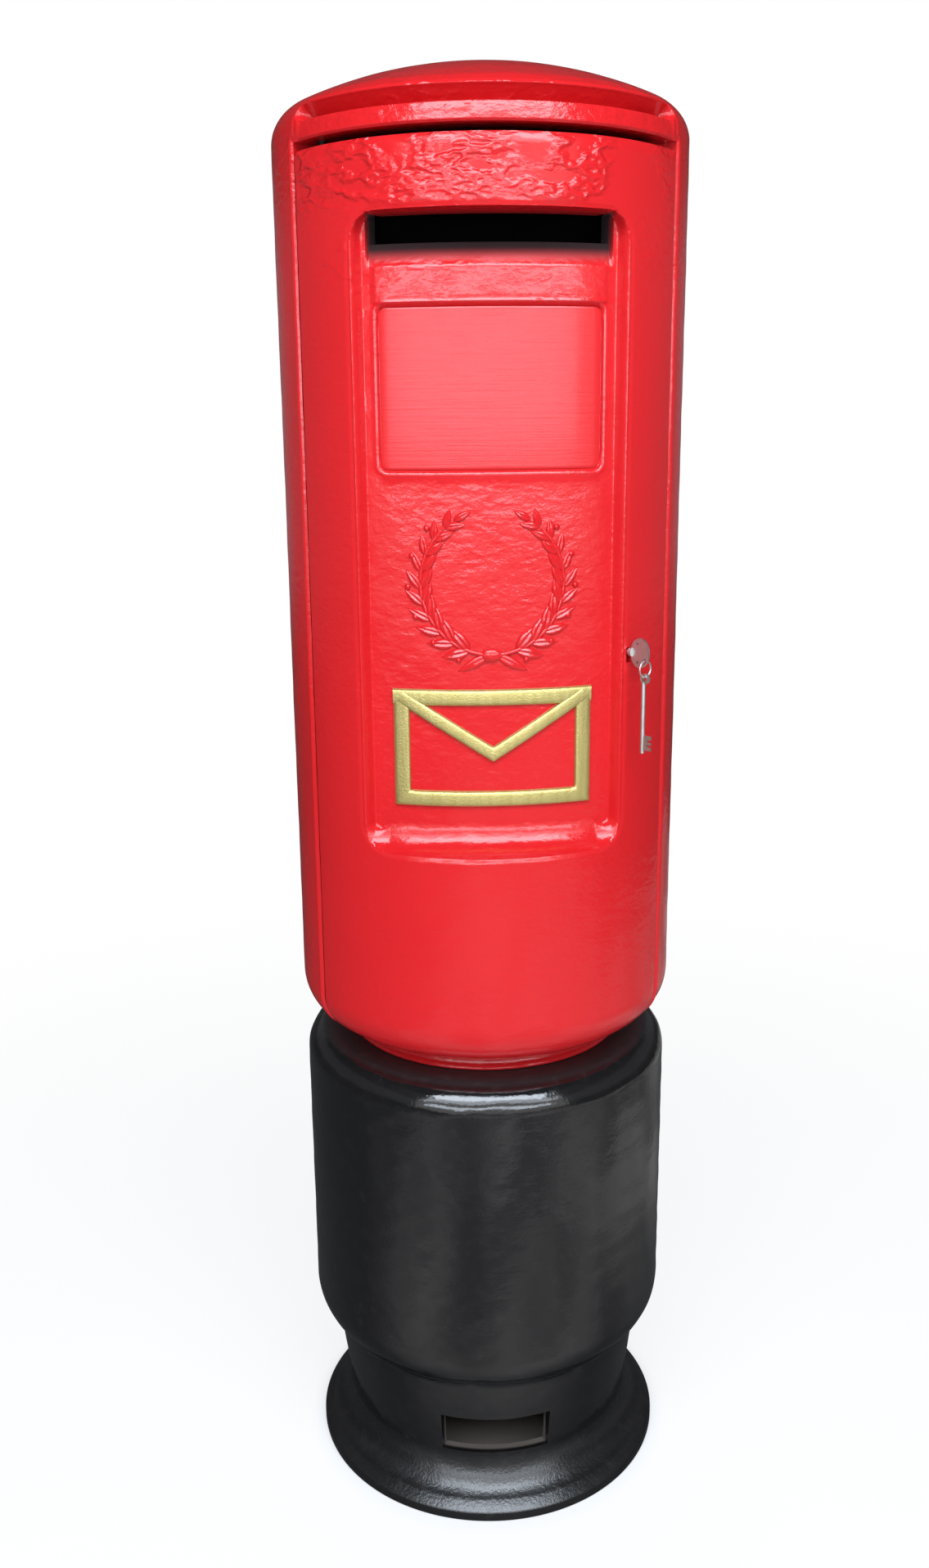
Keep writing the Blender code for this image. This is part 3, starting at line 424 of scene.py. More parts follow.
def door_front(profile):
    """The face: the turned wall with its edges rolled over, then the recess as a new Y."""
    turns = np.degrees(door_turns)[None, :]
    radius = profile[:, :1] - DOOR_EDGE_ROLL * ease(np.abs(turns), 59.15, DOOR_AZIMUTH)
    radius = radius - DOOR_TOP_ROLL * ease(profile[:, 1:], DOOR_TOP - 0.006, DOOR_TOP)
    points = around(radius, turns, profile[:, 1:])
    x, y, z = np.moveaxis(points, -1, 0)
    points[..., 1] = np.where(z > FOOT_TOP, door_face(x, y, z), y)
    points[..., 1] += cast_waves(points, BODY_LUMPS)
    return points


def door_back(profile, front):
    """The inner skin: the inner wall, or a wall's thickness behind the panel where that lies deeper."""
    points = around(profile[:, :1], np.degrees(door_turns)[None, :], profile[:, 1:])
    deep = np.maximum(points[..., 1], front[..., 1] + PANEL_WALL)
    points[..., 1] = np.where(door_outer[:, 1:] > FOOT_TOP, deep, points[..., 1])
    return points


def hole_mask(lines_across, lines_down, sides, low, high):
    """The faces of the grid that lie inside a rectangle."""
    middle = (lines_across[1:] + lines_across[:-1]) / 2
    level = (lines_down[1:] + lines_down[:-1]) / 2
    return ((level > low) & (level < high))[:, None] & ((middle > sides[0]) & (middle < sides[1]))[None, :]


door_outer = door_line(BODY_RADIUS, FOOT_ROUND)
door_skin = door_front(door_outer)
door_inside = door_back(door_line(WALL_IN, FOOT_ROUND - WALL), door_skin)
door_holes = hole_mask(door_turns, door_outer[:, 1], slot_turns, SLOT_LOW, SLOT_HIGH)
door_holes |= hole_mask(door_turns, door_outer[:, 1], key_turns, KEYHOLE_LOW, KEYHOLE_HIGH)
door_form = shell(door_skin, door_inside, ~door_holes, False)
door_piece = make_piece("door_casting", door_form, "door", "red_enamel", ["door"])

# %% [markdown]
# The pedestal is turned in the same way, with a rounded shoulder, a straight side, a step in to a tapered
# root and a flange that spreads at the foot. A rectangular window is open in the front of the root.

# %% Pedestal
PEDESTAL_RADIUS, PEDESTAL_TOP, PEDESTAL_ROUND = 0.238, 0.615, 0.035
PEDESTAL_IN, PEDESTAL_CEILING, PEDESTAL_LUMPS = 0.224, 0.601, 0.0003
STEP_ROUND, STEP_Z = 0.060, 0.240
ROOT_TOP, ROOT_FOOT, ROOT_WALL = 0.187, 0.070, 0.015
WINDOW_SIDES, WINDOW_LOW, WINDOW_HIGH = (-20.7, 20.7), 0.074, 0.130


def pedestal_lines():
    """Outer and inner profiles of as many points each, from the bore down to the flange's underside."""
    crown = PEDESTAL_RADIUS - PEDESTAL_ROUND
    above, beside = np.linspace(ROOT_TOP, WINDOW_HIGH, 10), np.linspace(WINDOW_HIGH, WINDOW_LOW, 12)[1:]
    root_z = np.concatenate([above, beside, [ROOT_FOOT]])
    root = straight_run(np.interp(root_z, (0.068, ROOT_TOP), (0.195, 0.210)), root_z)
    outer = np.concatenate([
        resample([(BORE, PEDESTAL_TOP), (crown, PEDESTAL_TOP)], 8)[:-1],
        arc((crown, PEDESTAL_TOP - PEDESTAL_ROUND), PEDESTAL_ROUND, 90, 0, 18),
        resample([(PEDESTAL_RADIUS, 0.578), (PEDESTAL_RADIUS, 0.242)], 46),
        arc((PEDESTAL_RADIUS - STEP_ROUND, STEP_Z), STEP_ROUND, 0, -45, 14),
        root,
        arc((0.243, 0.068), 0.048, 182, 248, 16),
        arc((0.2315, 0.0115), 0.0040, 60, 0, 6),
        arc((0.2325, 0.0030), 0.0030, 0, -90, 5),
    ])
    upper = np.concatenate([
        resample([(BORE, PEDESTAL_CEILING), (0.198, PEDESTAL_CEILING)], 7),
        resample([(0.200, PEDESTAL_CEILING), (0.215, 0.597), (PEDESTAL_IN, 0.574)], 18),
        resample([(PEDESTAL_IN, 0.572), (PEDESTAL_IN, 0.252)], 46),
        resample([(PEDESTAL_IN, 0.250), (0.196, 0.196)], 14),
    ])
    rest = len(outer) - len(upper) - len(root)
    inner = np.concatenate([upper, root - [ROOT_WALL, 0], resample([(0.1795, 0.069), (0.178, 0.0)], rest)])
    return outer, inner


ped_outer, ped_inner = pedestal_lines()
ped_turns = merge_lines((-178, 180, 2.0), (-22, -19, 0.5), (19, 22, 0.5), at=WINDOW_SIDES)
ped_front = around(ped_outer[:, :1], ped_turns[None, :], ped_outer[:, 1:])
ped_lumps = cast_waves(ped_front * [1, 1, 1.3], PEDESTAL_LUMPS) * ease(ped_front[..., 2], 0.012, 0.03)
ped_front = ped_front + around(ped_lumps, ped_turns[None, :], 0.0)
ped_back = around(ped_inner[:, :1], ped_turns[None, :], ped_inner[:, 1:])
ped_window = hole_mask(np.append(ped_turns, 181.0), ped_outer[:, 1], WINDOW_SIDES, WINDOW_LOW, WINDOW_HIGH)
ped_form = shell(ped_front, ped_back, ~ped_window, True)
pedestal_piece = make_piece("pedestal_casting", ped_form, "pillar", "black_paint", ["pedestal"])

# %% [markdown]
# The ornament on the panel is a wreath: two leafy sprigs that rise from a knot at the foot and curve
# towards each other. A leaf could be sculpted and copied by hand. Here it is a closed pod that swells and
# tapers to a tip, creased along its middle. All leaves come from that one formula, so they can be placed
# along an arc and laid on the panel's curve together.

# %% Wreath
WREATH_CENTRE, WREATH_RADIUS = (0.0, 1.216), 0.080
LEAF_LENGTH, LEAF_WIDTH, LEAF_HEIGHT, LEAF_CREASE, LEAF_LEAN = 0.036, 0.0150, 0.0052, 0.42, 0.55
LEAVES = 10
STEM_THICK, BERRY, BERRY_HEIGHT, BERRY_OUT = 0.0026, 0.0078, 0.0042, 0.0135
KNOT_LENGTH, TAIL_SPOTS, TAIL_ANGLES = 0.030, [(0.004, 1.136), (-0.004, 1.136)], [-28.0, 208.0]


def pod(rows, columns, length, width, height, crease):
    """A closed pod along +x: its half width follows a skewed sine, and its section is an ellipse whose upper
    side is pressed in along the middle."""
    t = np.linspace(0, 1, rows)[:, None]
    turn = np.linspace(0, 2 * np.pi, columns, endpoint=False)[None, :]
    swell = np.sin(np.pi * t**0.8) ** 0.85
    x = length * t + 0 * turn
    y = 0.5 * width * swell * np.cos(turn)
    z = height * swell * np.sin(turn)
    z = z - crease * height * swell * bell(np.cos(turn), 0.0, 0.22) * (np.sin(turn) > 0)
    return np.stack([x, y, z], axis=-1)


def place_flat(form, spots, angles, sizes):
    """Copies of a form on the panel: turned in its plane, moved to a spot, then laid on its curve."""
    turn = angles[:, None, None]
    local = form[None] * sizes[:, None, None, None]
    x = spots[:, 0, None, None] + local[..., 0] * np.cos(turn) - local[..., 1] * np.sin(turn)
    z = spots[:, 1, None, None] + local[..., 0] * np.sin(turn) + local[..., 1] * np.cos(turn)
    return np.stack([x, panel_y(x) - local[..., 2], z], axis=-1)


def closed_copies(copies):
    """Points and quads of several closed tubes of one grid, one after another."""
    count, rows, columns = copies.shape[:3]
    quads = grid_quads(rows, columns, True).reshape(-1, 4)
    faces = quads[None] + (np.arange(count) * rows * columns)[:, None, None]
    return copies.reshape(-1, 3), faces.reshape(-1, 4)


def join(groups):
    """Several groups of points and faces as one."""
    offsets = np.cumsum([0] + [len(points) for points, _ in groups[:-1]])
    faces = [faces + offset for (_, faces), offset in zip(groups, offsets)]
    return np.concatenate([points for points, _ in groups]), np.concatenate(faces)


def on_wreath(bend, reach):
    """Points of the panel's plane at a distance and an angle from the wreath's middle."""
    middle_x, middle_z = WREATH_CENTRE
    return np.stack([middle_x + reach * np.cos(bend), middle_z + reach * np.sin(bend)], axis=-1)


def sprig_leaves(side):
    """Leaves in pairs along one sprig, leaning out and in from its direction, and one at its tip."""
    share = np.linspace(0.05, 0.92, LEAVES)
    bend = np.radians(-90 + side * (12 + 138 * share))
    stem = on_wreath(bend, WREATH_RADIUS)
    tip = on_wreath(bend[-1:] + side * 0.16, WREATH_RADIUS)
    ahead = bend + side * np.pi / 2
    lean = side * LEAF_LEAN
    angles = np.concatenate([ahead + lean, ahead - lean, ahead[-1:] + side * 0.2])
    sizes = np.concatenate([1.0 - 0.35 * share, 0.92 - 0.35 * share, [0.62]])
    return np.concatenate([stem, stem, tip]), angles, sizes


def sprig_stem(side):
    """A round stem along the sprig's arc, half sunk in the panel, closed to a point at both ends."""
    share = np.linspace(0, 1, 60)[:, None]
    turn = np.linspace(0, 2 * np.pi, 10, endpoint=False)[None, :]
    bend = np.radians(-90 + side * (-9 + 152 * share))
    thick = STEM_THICK * np.minimum(1, 14 * share * (1 - share)) * (1.15 - 0.5 * share)
    x, z = np.moveaxis(on_wreath(bend, WREATH_RADIUS + thick * np.cos(turn)), -1, 0)
    return np.stack([x, panel_y(x) - thick * np.sin(turn) * 1.2, z], axis=-1)[None]


def berries(side):
    """Small round berries between the leaves, on the outer side of a sprig."""
    bend = np.radians(-90 + side * np.linspace(24, 130, 6))
    ball = pod(12, 14, BERRY, BERRY, BERRY_HEIGHT, 0.0) - np.array([BERRY / 2, 0, 0])
    return place_flat(ball, on_wreath(bend, WREATH_RADIUS + BERRY_OUT), bend * 0, np.ones(bend.size))


leaf = pod(16, 16, LEAF_LENGTH, LEAF_WIDTH, LEAF_HEIGHT, LEAF_CREASE)
knot = pod(16, 18, KNOT_LENGTH, 0.017, 0.0062, 0.0) - np.array([KNOT_LENGTH / 2, 0, 0])
tail = pod(16, 16, 0.040, 0.012, 0.0042, 0.35)
knot_spot = np.array([[WREATH_CENTRE[0], WREATH_CENTRE[1] - WREATH_RADIUS]])
wreath = [copies for side in (1, -1)
          for copies in (place_flat(leaf, *sprig_leaves(side)), sprig_stem(side), berries(side))]
wreath.append(place_flat(knot, knot_spot, np.zeros(1), np.ones(1)))
wreath.append(place_flat(tail, np.array(TAIL_SPOTS), np.radians(TAIL_ANGLES), np.ones(2)))
wreath_form = join([closed_copies(copies) for copies in wreath])
wreath_piece = make_piece("wreath_casting", wreath_form, "door", "red_enamel", ["wreath_relief"], 50)

# %% [markdown]
# Under the wreath sits a gilt sign that says what the box is for without words: an envelope drawn in raised
# bars. A bar is a profile with rolled edges carried along a bent line in short lengths that follow the
# panel, and its corners are mitred, so that the runs meet cleanly.

# %% Gilt envelope
SIGN_HALF, SIGN_LOW, SIGN_HIGH, FLAP_TIP = 0.1130, 0.960, 1.097, 1.022
BAR_WIDTH, BAR_HEIGHT, BAR_SUNK = 0.0190, 0.0050, 0.0012
BAR_LENGTHS, BAR_POINTS = 28, 15


def bar_section(count):
    """Across a bar from edge to edge: up the side, over a rolled edge and a gently crowned top."""
    t = np.linspace(-1, 1, count)
    top = np.clip(1 - np.abs(t) ** 9, 0, 1) ** 0.5 * (1 - 0.10 * t**2)
    return 0.5 * t, top


def bar(path, width, height):
    """A bar along a bent line in the panel's plane: mitred corners, a crowned top, a flat sunk underside."""
    path = np.asarray(path, float)
    run = np.diff(path, axis=0)
    run = run / np.linalg.norm(run, axis=1, keepdims=True)
    side = np.stack([-run[:, 1], run[:, 0]], axis=-1)
    before = np.concatenate([side[:1], side])
    after = np.concatenate([side, side[-1:]])
    mitre = before + after
    mitre = mitre / np.sum(mitre * after, axis=1, keepdims=True)
    where = np.linspace(0, len(run), len(run) * (BAR_LENGTHS - 1) + 1)
    index = np.arange(len(path))
    middle, across = [np.stack([np.interp(where, index, line[:, k]) for k in (0, 1)], axis=-1)
                      for line in (path, mitre)]
    offset, lift = bar_section(BAR_POINTS)
    section = np.concatenate([offset, offset[::-1]])
    up = np.concatenate([height * lift, np.full(offset.size, -BAR_SUNK)])
    flat = middle[:, None] + across[:, None] * (section * width)[None, :, None]
    x, z = flat[..., 0], flat[..., 1]
    rows = np.stack([x, panel_y(x) - up[None, :], z], axis=-1)
    cap = rows.mean(axis=1, keepdims=True) + 0 * rows
    return np.concatenate([cap[:1], rows, cap[-1:]])[None, :, ::-1]


inset = BAR_WIDTH / 2
box_x, low_z, high_z = SIGN_HALF - inset, SIGN_LOW + inset, SIGN_HIGH - inset
flap_x, flap_z = box_x + inset * 0.2, high_z + 0.001
frame_run = [(-box_x, high_z), (-box_x, low_z), (box_x, low_z), (box_x, high_z)]
lid_run = [(-SIGN_HALF, high_z), (SIGN_HALF, high_z)]
flap_run = [(-flap_x, flap_z), (0.0, FLAP_TIP), (flap_x, flap_z)]
sign_form = join([closed_copies(bar(*run)) for run in (
    (frame_run, BAR_WIDTH, BAR_HEIGHT),
    (lid_run, BAR_WIDTH, BAR_HEIGHT * 0.96),
    (flap_run, BAR_WIDTH * 0.82, BAR_HEIGHT * 1.08),
)])
sign_piece = make_piece("gilt_envelope", sign_form, "door", "gilt_paint", ["letter_badge"], 60)

# %% [markdown]
# The notice plate lies in its pocket under the slot: a thin sheet bent to the panel. Its outline is a
# square grid pushed towards a rounded rectangle, and the sheet is the same shell of two grids.

# %% Notice plate
PLATE_HALF, PLATE_LOW, PLATE_HIGH, PLATE_CORNER = 0.1195, 1.3385, 1.5065, 0.008
PLATE_FRONT, PLATE_BACK, PLATE_ROLL, PLATE_LINES = 0.0018, 0.0034, 0.0006, 60


def plate_grid(half, low, high, corner, count):
    """A grid over a rectangle whose rows shorten near the top and bottom, as the round corners ask."""
    v = np.sin(np.linspace(-0.5, 0.5, count) * np.pi)[:, None]
    z = (low + high) / 2 - v * (high - low) / 2
    into = np.clip(corner - (high - z), 0, corner) + np.clip(corner - (z - low), 0, corner)
    reach = half - corner + np.sqrt(np.maximum(corner**2 - into**2, 0))
    return np.linspace(-1, 1, count)[None, :] * reach, z + np.zeros((count, count))


plate_shape = (PLATE_HALF, PLATE_LOW, PLATE_HIGH, PLATE_CORNER)
plate_x, plate_z = plate_grid(*plate_shape, PLATE_LINES)
plate_edge, _ = rounded_distance(plate_x, plate_z, *plate_shape)
plate_depths = (PLATE_FRONT + PLATE_ROLL * ease(plate_edge, -0.0016, 0.0), PLATE_BACK)
plate_skins = [np.stack([plate_x, panel_y(plate_x) + depth, plate_z], axis=-1) for depth in plate_depths]
plate_keep = np.ones((PLATE_LINES - 1, PLATE_LINES - 1), bool)
plate_piece = make_piece("notice_sheet", shell(*plate_skins, plate_keep, False), "door", "red_enamel",
                         ["notice_plate"])

# %% [markdown]
# Inside the door, two lugs take the pivot pins and two ribs carry the lock. They are short blocks with
# rounded corners, made from one swept square, and they belong to the same casting as the door.

# %% Lugs and ribs
HINGE_AZIMUTH, LUG_TALL, LUG_FEET = -55.0, 0.0198, (0.7047, 1.651)
RIB_TALL, RIB_FEET = 0.006, (KEY_Z + 0.0603, KEY_Z - 0.0663)
SQUARENESS = 0.22


def soft_block(low, high, azimuth):
    """A block at an azimuth, its corners given sideways, outward and up: a rounded square swept upward."""
    low, high = np.array(low), np.array(high)
    turn = np.linspace(0, 2 * np.pi, 32, endpoint=False)[None, :]
    waves = np.cos(turn), np.sin(turn)
    square_x, square_y = [np.sign(wave) * np.abs(wave) ** SQUARENESS for wave in waves]
    level = np.array([-1, -1, -0.9, 0.9, 1, 1])[:, None]
    width = np.array([0, 0.95, 1, 1, 0.95, 0])[:, None]
    middle, half = (low + high) / 2, (high - low) / 2
    up = np.array([0.0, 0.0, 1.0])
    out = around(1.0, azimuth, 0.0)
    along = np.cross(up, out)
    a = middle[0] + half[0] * square_x * width
    b = middle[1] + half[1] * square_y * width
    c = middle[2] + half[2] * level + 0 * turn
    return (a[..., None] * along + b[..., None] * out + c[..., None] * up)[None, ::-1]


blocks = [soft_block((-0.010, 0.205, z), (0.010, 0.231, z + LUG_TALL), HINGE_AZIMUTH) for z in LUG_FEET]
blocks += [soft_block((0.013, 0.150, z), (0.052, 0.229, z + RIB_TALL), KEY_AZIMUTH) for z in RIB_FEET]
lug_form = join([closed_copies(block) for block in blocks])
lug_piece = make_piece("door_lugs", lug_form, "door", "red_enamel", [])

# %% [markdown]
# Paint could be wired by hand in the node editor, but it reads more easily as arithmetic. A small class
# holds one socket of a material, and adding, subtracting or multiplying two of them lays down a Math node.
# Every other node comes from one method.


# %% Sockets with arithmetic
class Wire:
    """A socket of a material that can be calculated with."""

    def __init__(self, tree, socket):
        self.tree, self.socket = tree, socket

    def node(self, kind, choices, inputs, output=0):
        """A node: its choices are set first, then its inputs, which are numbers, colours or wires."""
        made = self.tree.nodes.new(kind)
        for name, choice in choices.items():
            setattr(made, name, choice)
        for name, value in inputs.items():
            if isinstance(value, Wire):
                self.tree.links.new(value.socket, made.inputs[name])
            else:
                made.inputs[name].default_value = value
        return Wire(self.tree, made.outputs[output])

    def maths(self, operation, first, second):
        return self.node("ShaderNodeMath", {"operation": operation}, {0: first, 1: second})

    def __add__(self, other):
        return self.maths("ADD", self, other)

    __radd__ = __add__

    def __sub__(self, other):
        return self.maths("SUBTRACT", self, other)

    def __rsub__(self, other):
        return self.maths("SUBTRACT", other, self)

    def __mul__(self, other):
        return self.maths("MULTIPLY", self, other)

    __rmul__ = __mul__

    def __abs__(self):
        return self.maths("ABSOLUTE", self, 0)

    def larger(self, other):
        """The larger of two values."""
        return self.maths("MAXIMUM", self, other)

    def noise(self, scale, detail=2.0, rough=0.5):
        """Cloudy noise from 0 to 1 over these coordinates."""
        inputs = {"Vector": self, "Scale": scale, "Detail": detail, "Roughness": rough}
        return self.node("ShaderNodeTexNoise", {}, inputs, "Fac")

    def stretched(self, x, y, z):
        """These coordinates scaled unevenly, so that a pattern on them runs in lines."""
        return self.node("ShaderNodeMapping", {}, {"Vector": self, "Scale": (x, y, z)})

    def along(self, axis):
        """One of these coordinates: X, Y or Z."""
        return self.node("ShaderNodeSeparateXYZ", {}, {"Vector": self}, axis)

    def from_axis(self):
        """The distance from the upright axis."""
        flat = self.stretched(1.0, 1.0, 0.0)
        return self.node("ShaderNodeVectorMath", {"operation": "LENGTH"}, {0: flat}, "Value")

    def band(self, low, high):
        """0 below low, 1 above high, and a smooth step between."""
        inputs = {"Value": self, "From Min": low, "From Max": high}
        return self.node("ShaderNodeMapRange", {"interpolation_type": "SMOOTHSTEP"}, inputs)

    def between(self, rise, fall):
        """1 between two smooth steps: up over the first pair of values, and down over the second."""
        return self.band(*rise) * (1 - self.band(*fall))

    def tint(self, first, second):
        """A colour between two, by this value."""
        return self.node("ShaderNodeMix", {"data_type": "RGBA"}, {0: self, 6: first, 7: second}, 2)

    def bump(self, strength, depth):
        """A normal from this height, which is counted in units of a depth in metres."""
        return self.node("ShaderNodeBump", {}, {"Strength": strength, "Distance": depth, "Height": self})


def start_finish(name, **constants):
    """A new material with its shader's constants set: the material, its coordinates and its shader."""
    finish = bpy.data.materials.new(name)
    finish.use_nodes = True
    shader = finish.node_tree.nodes["Principled BSDF"]
    for socket, value in constants.items():
        shader.inputs[socket.replace("_", " ")].default_value = value
    coordinates = finish.node_tree.nodes.new("ShaderNodeTexCoord")
    return finish, Wire(finish.node_tree, coordinates.outputs["Object"]), shader


def feed(shader, **wires):
    """Links wires to the shader's sockets by name."""
    for socket, wire in wires.items():
        wire.tree.links.new(wire.socket, shader.inputs[socket.replace("_", " ")])


# %% [markdown]
# The red enamel is thick, and was brushed over a rough casting many times. So it has three depths of
# unevenness: soft lumps from the iron, coarser on the brow band, wandering folds where a coat sagged, most
# of them over the slot, and a fine peel. A bump is enough, since none of it shows at the outline. Grime
# gathers in a few specks. The slope under the slot is painted darker towards the inside, as painted shade.
# The notice plate wears the same enamel, laid on with level strokes.

# %% Red enamel
DOOR_HEAD = (1.604, 1.612), (1.672, 1.679)
BROW_BAND = (1.680, 1.683), (1.698, 1.701)
# The slope under the slot gets painted shade: between these heights its colour runs to near-black.
SLOT_PAINTED_SHADE = (1.547, 1.567), (1.5985, 1.6010)
DEEP_RED, BRIGHT_RED, GRIME = (0.50, 0.0090, 0.0110, 1), (0.57, 0.0120, 0.0150, 1), (0.16, 0.012, 0.014, 1)
PAINTED_SHADE_BLACK = (0.012, 0.004, 0.004, 1)


def red_finish(name, lump_share, stroke_share):
    """Glossy red: how much of the lumps and folds shows, and how much of the level strokes."""
    finish, place, shader = start_finish(name, Coat_Weight=0.15, Coat_Roughness=0.10, IOR=1.45)
    height = place.along("Z")
    ahead = 1 - place.along("Y").band(-0.14, -0.10)
    head = height.between(*DOOR_HEAD) * ahead
    brow = height.between(*BROW_BAND) * ahead
    # shade is a mask of painted shade, which darkens the slope under the slot towards the inside.
    shade = height.between(*SLOT_PAINTED_SHADE) * ahead * (1 - abs(place.along("X")).band(0.126, 0.134))
    lumps = place.stretched(1.0, 1.0, 1.5).noise(75.0, 3.0, 0.55)
    folds = place.stretched(1.0, 1.0, 1.9).noise(27.0, 2.5, 0.5)
    ridge = 1 - abs(folds - 0.5).band(0.0, 0.13)
    patches = place.noise(12.0, 1.0).band(0.35, 0.59) * (0.10 + height.band(1.48, 1.52) * 0.24 + head * 1.2)
    peel = place.noise(420.0, 1.0)
    strokes = place.stretched(9.0, 9.0, 380.0).noise(1.0, 3.0, 0.6)
    clouds = place.noise(5.0, 3.0)
    specks = place.noise(150.0, 2.0).band(0.735, 0.79)
    cast = lumps * (0.7 + brow * 1.1 - head * 0.45) + ridge * patches * (1 - shade) * 1.5
    relief = cast * lump_share + strokes * stroke_share + peel * 0.10
    grimy = (specks * 0.30).tint(clouds.tint(DEEP_RED, BRIGHT_RED), GRIME)
    feed(shader, Base_Color=shade.tint(grimy, PAINTED_SHADE_BLACK),
         Roughness=0.11 + clouds * 0.08 + peel * 0.04 + 0.35 * stroke_share + shade * 0.85,
         Normal=relief.bump(0.70, 0.0013))
    return finish


red_enamel = red_finish("red_enamel", 1.0, 0.0)
plate_enamel = red_finish("red_plate_enamel", 0.12, 0.34)
print("red enamel", len(red_enamel.node_tree.nodes), "nodes")

# %% [markdown]
# The black paint on the pedestal is tar-like: nearly black and glossy, with dragged brush marks round the
# casting and a fine grit. On the ledge round the neck it is worn dull, on the flange the grit is coarser,
# and inside the root it is dusty. The gold is metallic paint, brushed unevenly and darker where it wore
# thin.


# %% Black and gold paint
def black_finish():
    """Glossy black with brush drag, grit and faint dust."""
    finish, place, shader = start_finish("black_paint", IOR=1.65)
    drag = place.stretched(14.0, 14.0, 120.0).noise(1.0, 3.0, 0.6)
    lumps = place.noise(48.0, 2.0)
    grit = place.noise(250.0, 3.0, 0.6)
    height = place.along("Z")
    within = (1 - place.from_axis().band(0.187, 0.192)) * (1 - height.band(0.20, 0.24))
    ledge = height.band(0.6095, 0.6140)
    flange = 1 - height.band(0.050, 0.090)
    dust = place.noise(60.0, 4.0, 0.65).band(0.50, 0.80)
    black = (dust * 0.30).tint((0.0060, 0.0056, 0.0057, 1), (0.026, 0.024, 0.023, 1))
    feed(shader, Base_Color=within.tint(black, (0.080, 0.064, 0.053, 1)),
         Roughness=0.05 + drag * 0.07 + dust * 0.08 + within * 0.5 + ledge * 0.4 + flange * 0.20,
         Normal=(lumps * 0.6 + drag * 0.25 + grit * (0.22 + flange * 0.45)).bump(0.60, 0.0012))
    return finish


def gilt_finish():
    """Gold paint: metallic flake, brushed unevenly, darker where it wore thin."""
    finish, place, shader = start_finish("gilt_paint", IOR=1.45)
    flake = place.noise(620.0, 2.0)
    brush = place.stretched(160.0, 160.0, 26.0).noise(1.0, 3.0, 0.6)
    worn = place.noise(70.0, 4.0, 0.65).band(0.60, 0.74)
    gold = brush.tint((0.43, 0.345, 0.105, 1), (0.66, 0.555, 0.225, 1))
    feed(shader, Base_Color=(worn * 0.5).tint(gold, (0.22, 0.135, 0.035, 1)),
         Metallic=0.80 - worn * 0.25, Roughness=0.30 + flake * 0.16 + worn * 0.15,
         Normal=(brush * 0.7 + flake * 0.6).bump(0.50, 0.0010))
    return finish


finishes = {"red_enamel": red_enamel, "black_paint": black_finish(), "gilt_paint": gilt_finish()}
print("paints", sorted(finishes))

# %% [markdown]
# The lock, the fixings and the keys are bare or plated metal. One formula serves them all, and a table
# gives each its two tones, its roughness and how close its scratches lie. The floor of the box and the
# guard are galvanised sheet, with spangles.

# %% Bare metals
METALS = {
    "plain_steel": ((0.30, 0.30, 0.31, 1), (0.50, 0.50, 0.51, 1), 0.26, 420.0),
    # Grease-dark steel for the pivot pins, darkened further as painted shade in the door's gaps.
    "greased_and_shaded_steel": ((0.016, 0.014, 0.013, 1), (0.034, 0.030, 0.027, 1), 0.50, 420.0),
    # The chute's sheet is near-black as painted shade inside the slot.
    "painted_shade_sheet": ((0.012, 0.011, 0.011, 1), (0.024, 0.022, 0.021, 1), 0.60, 300.0),
    "lock_brass": ((0.50, 0.34, 0.12, 1), (0.70, 0.52, 0.23, 1), 0.24, 420.0),
    "nickel_key": ((0.52, 0.51, 0.49, 1), (0.78, 0.77, 0.75, 1), 0.32, 600.0),
}


def metal_finish(name, dark, light, smooth, scratch_scale):
    """Bare or plated metal: two tones in clouds, fine scratches in the gloss and a few dull spots."""
    finish, place, shader = start_finish(name, Metallic=1.0)
    clouds = place.noise(60.0, 3.0, 0.6)
    scratches = place.stretched(scratch_scale, scratch_scale, 90.0).noise(1.0, 3.0, 0.7)
    spots = place.noise(210.0, 3.0, 0.6).band(0.62, 0.74)
    dull = tuple(0.45 * value for value in dark[:3]) + (1,)
    feed(shader, Base_Color=(spots * 0.4).tint(clouds.tint(dark, light), dull),
         Roughness=smooth + scratches * 0.18 + spots * 0.12,
         Normal=(scratches * 0.6 + spots).bump(0.20, 0.0003))
    return finish


def sheet_finish():
    """Galvanised sheet: spangles of unlike grey, as large as fingernails."""
    finish, place, shader = start_finish("galvanised_sheet", Metallic=1.0)
    spangle = place.node("ShaderNodeTexVoronoi", {}, {"Vector": place, "Scale": 85.0}, "Color")
    grey = spangle.node("ShaderNodeSeparateColor", {}, {"Color": spangle}, "Red")
    dirt = place.noise(22.0, 4.0, 0.6)
    zinc = (grey * 0.6 + dirt * 0.4).tint((0.16, 0.165, 0.17, 1), (0.40, 0.41, 0.42, 1))
    feed(shader, Base_Color=zinc, Roughness=0.36 + grey * 0.14 + dirt * 0.12,
         Normal=(grey * 0.5 + dirt).bump(0.15, 0.0003))
    return finish


finishes["galvanised_sheet"] = sheet_finish()
for metal, looks in METALS.items():
    finishes[metal] = metal_finish(metal, *looks)
print("finishes", sorted(finishes))

# %% [markdown]
# Pieces take their finish from their slot. The solids that stay in view, which are the lock, the chute, the
# fixings and the keys, take theirs by what they are made of. Two are darkened as painted shade: the chute is
# near-black inside the slot, and the pivot pins' grease-dark steel is darker still in the door's gaps.

